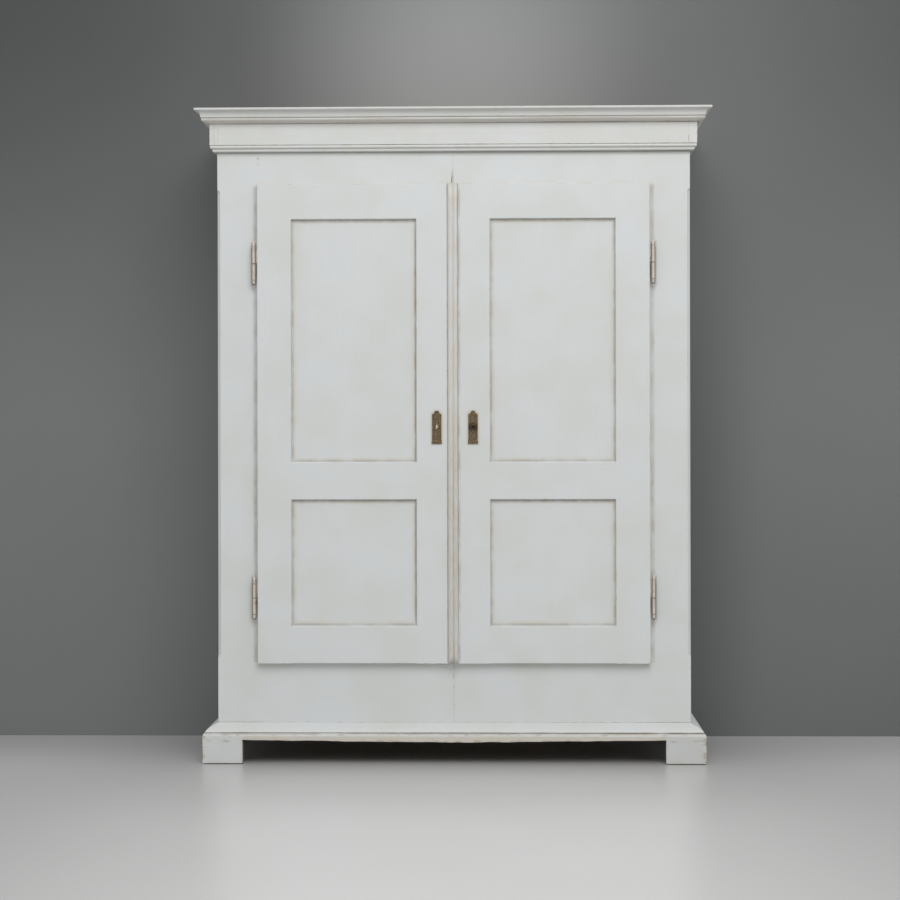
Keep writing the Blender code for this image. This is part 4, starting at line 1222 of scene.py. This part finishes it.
def make_wall(stage):
    """Painted wall close behind the cupboard, palest above its middle where a pool of light is painted, with
    painted shade elsewhere. Only what sees its front sees it.
    """
    material, tree, place = new_material("painted_wall")
    x, _, z = axes(place)
    # Painted light and shade on the wall: a pool of light above the middle, darker towards the upper sides,
    # darker towards the lower right and upper left, and a painted shadow right of the cupboard.
    pool = window(distance(place, (0.0, BACK + WALL_GAP, 2.25)), 0.78, 0.05) * 0.66
    falling = ((z * -1.0 + 1.05) * x | 0.0) * 0.11 & 0.3
    colour = coats(
        stage.wall,
        (stretched_noise(place, (0.5, 0.5, 0.7), 5.0), shade(stage.wall, 0.93)),
        (window(abs(x - 0.2), 0.1, 1.5) * window(z, 1.1, 2.5) * 0.56, shade(stage.wall, 0.3)),
        (pool, shade(stage.wall, 2.05)),
        (falling, shade(stage.wall, 0.1)),
        (line(x, 0.78, 0.3) * window(z, 2.1, 0.9) * 0.25, shade(stage.wall, 0.1)),
    )
    paint = add(tree, "ShaderNodeBsdfDiffuse", {"Color": colour})
    clear = add(tree, "ShaderNodeBsdfTransparent")
    kinds = ("Camera", "Glossy", "Transmission")
    camera, glossy, through = (add(tree, "ShaderNodeLightPath", output=f"Is {kind} Ray") for kind in kinds)
    back = add(tree, "ShaderNodeNewGeometry", output="Backfacing")
    shown = (camera | glossy | through) - back | 0.0
    mixed = add(tree, "ShaderNodeMixShader", {0: shown, 1: clear, 2: paint})
    add(tree, "ShaderNodeOutputMaterial", {"Surface": mixed})
    bm = bmesh.new()
    bmesh.ops.create_grid(bm, x_segments=1, y_segments=1, size=20.0)
    set_down(bm, (0, BACK + WALL_GAP, 20.0), math.radians(90))
    link_stage("wall", bm, material)


def make_light(scene, stage):
    """One large soft lamp high in front, and even light from all sides."""
    lamp = bpy.data.lights.new("soft_lamp", "AREA")
    lamp.shape = "SQUARE"
    lamp.size = 3.6
    lamp.energy = stage.lamp_power
    holder = bpy.data.objects.new("soft_lamp", lamp)
    scene.collection.objects.link(holder)
    holder.location = (0.7, -4.6, 4.7)
    aim = Vector((0.0, FACE, 1.05)) - holder.location
    holder.rotation_mode = "QUATERNION"
    holder.rotation_quaternion = aim.to_track_quat("-Z", "Y")
    world = bpy.data.worlds.new("even_light")
    world.use_nodes = True
    tree = world.node_tree
    tree.nodes.clear()
    sky = add(tree, "ShaderNodeBackground", {"Color": (*linear("#fbfdff"), 1.0), "Strength": stage.sky})
    add(tree, "ShaderNodeOutputWorld", {"Surface": sky})
    scene.world = world


def make_camera(scene, stage):
    """Camera in front, turned a little to the left and held a little aslant."""
    lens = bpy.data.cameras.new("camera")
    lens.lens = stage.focal_length
    lens.sensor_width = 36.0
    lens.shift_y = -HORIZON_ABOVE_MIDDLE / IMAGE_SIDE
    camera = bpy.data.objects.new("camera", lens)
    scene.collection.objects.link(camera)
    camera.location = CAMERA_PLACE
    turn = Matrix.Rotation(math.radians(CAMERA_TURN), 3, "Z") @ Matrix.Rotation(math.radians(90), 3, "X")
    camera.rotation_euler = (turn @ Matrix.Rotation(math.radians(CAMERA_ROLL), 3, "Z")).to_euler()
    scene.camera = camera


OPERATORS = (
    CUPBOARD_OT_painted_wood,
    CUPBOARD_OT_painted_frames,
    CUPBOARD_OT_cover_strip,
    CUPBOARD_OT_plinth_front,
    CUPBOARD_OT_bare_wood,
    CUPBOARD_OT_back_planks,
    CUPBOARD_OT_metal,
    CUPBOARD_OT_key_plates,
    CUPBOARD_OT_hinge_rings,
    CUPBOARD_OT_lock_screws,
    CUPBOARD_OT_stage,
)


class CUPBOARD_PT_build(bpy.types.Panel):
    """Lists the steps that dress the cupboard"""

    bl_idname = "CUPBOARD_PT_build"
    bl_label = "Painted Cupboard"
    bl_space_type = "VIEW_3D"
    bl_region_type = "UI"
    bl_category = "Cupboard"

    def draw(self, context):
        for step in OPERATORS:
            self.layout.operator(step.bl_idname)


SETTINGS = (
    ("cupboard_paint", PaintSettings),
    ("cupboard_metal", MetalSettings),
    ("cupboard_wood", WoodSettings),
    ("cupboard_stage", StageSettings),
)
CLASSES = tuple(kind for _, kind in SETTINGS) + OPERATORS + (CUPBOARD_PT_build,)


def register():
    for kind in CLASSES:
        bpy.utils.register_class(kind)
    for name, kind in SETTINGS:
        setattr(bpy.types.Scene, name, bpy.props.PointerProperty(type=kind))


def unregister():
    for name, _ in SETTINGS:
        delattr(bpy.types.Scene, name)
    for kind in reversed(CLASSES):
        bpy.utils.unregister_class(kind)


def main():
    register()
    for step in OPERATORS:
        group, name = step.bl_idname.split(".")
        getattr(getattr(bpy.ops, group), name)()


if __name__ == "__main__":
    main()
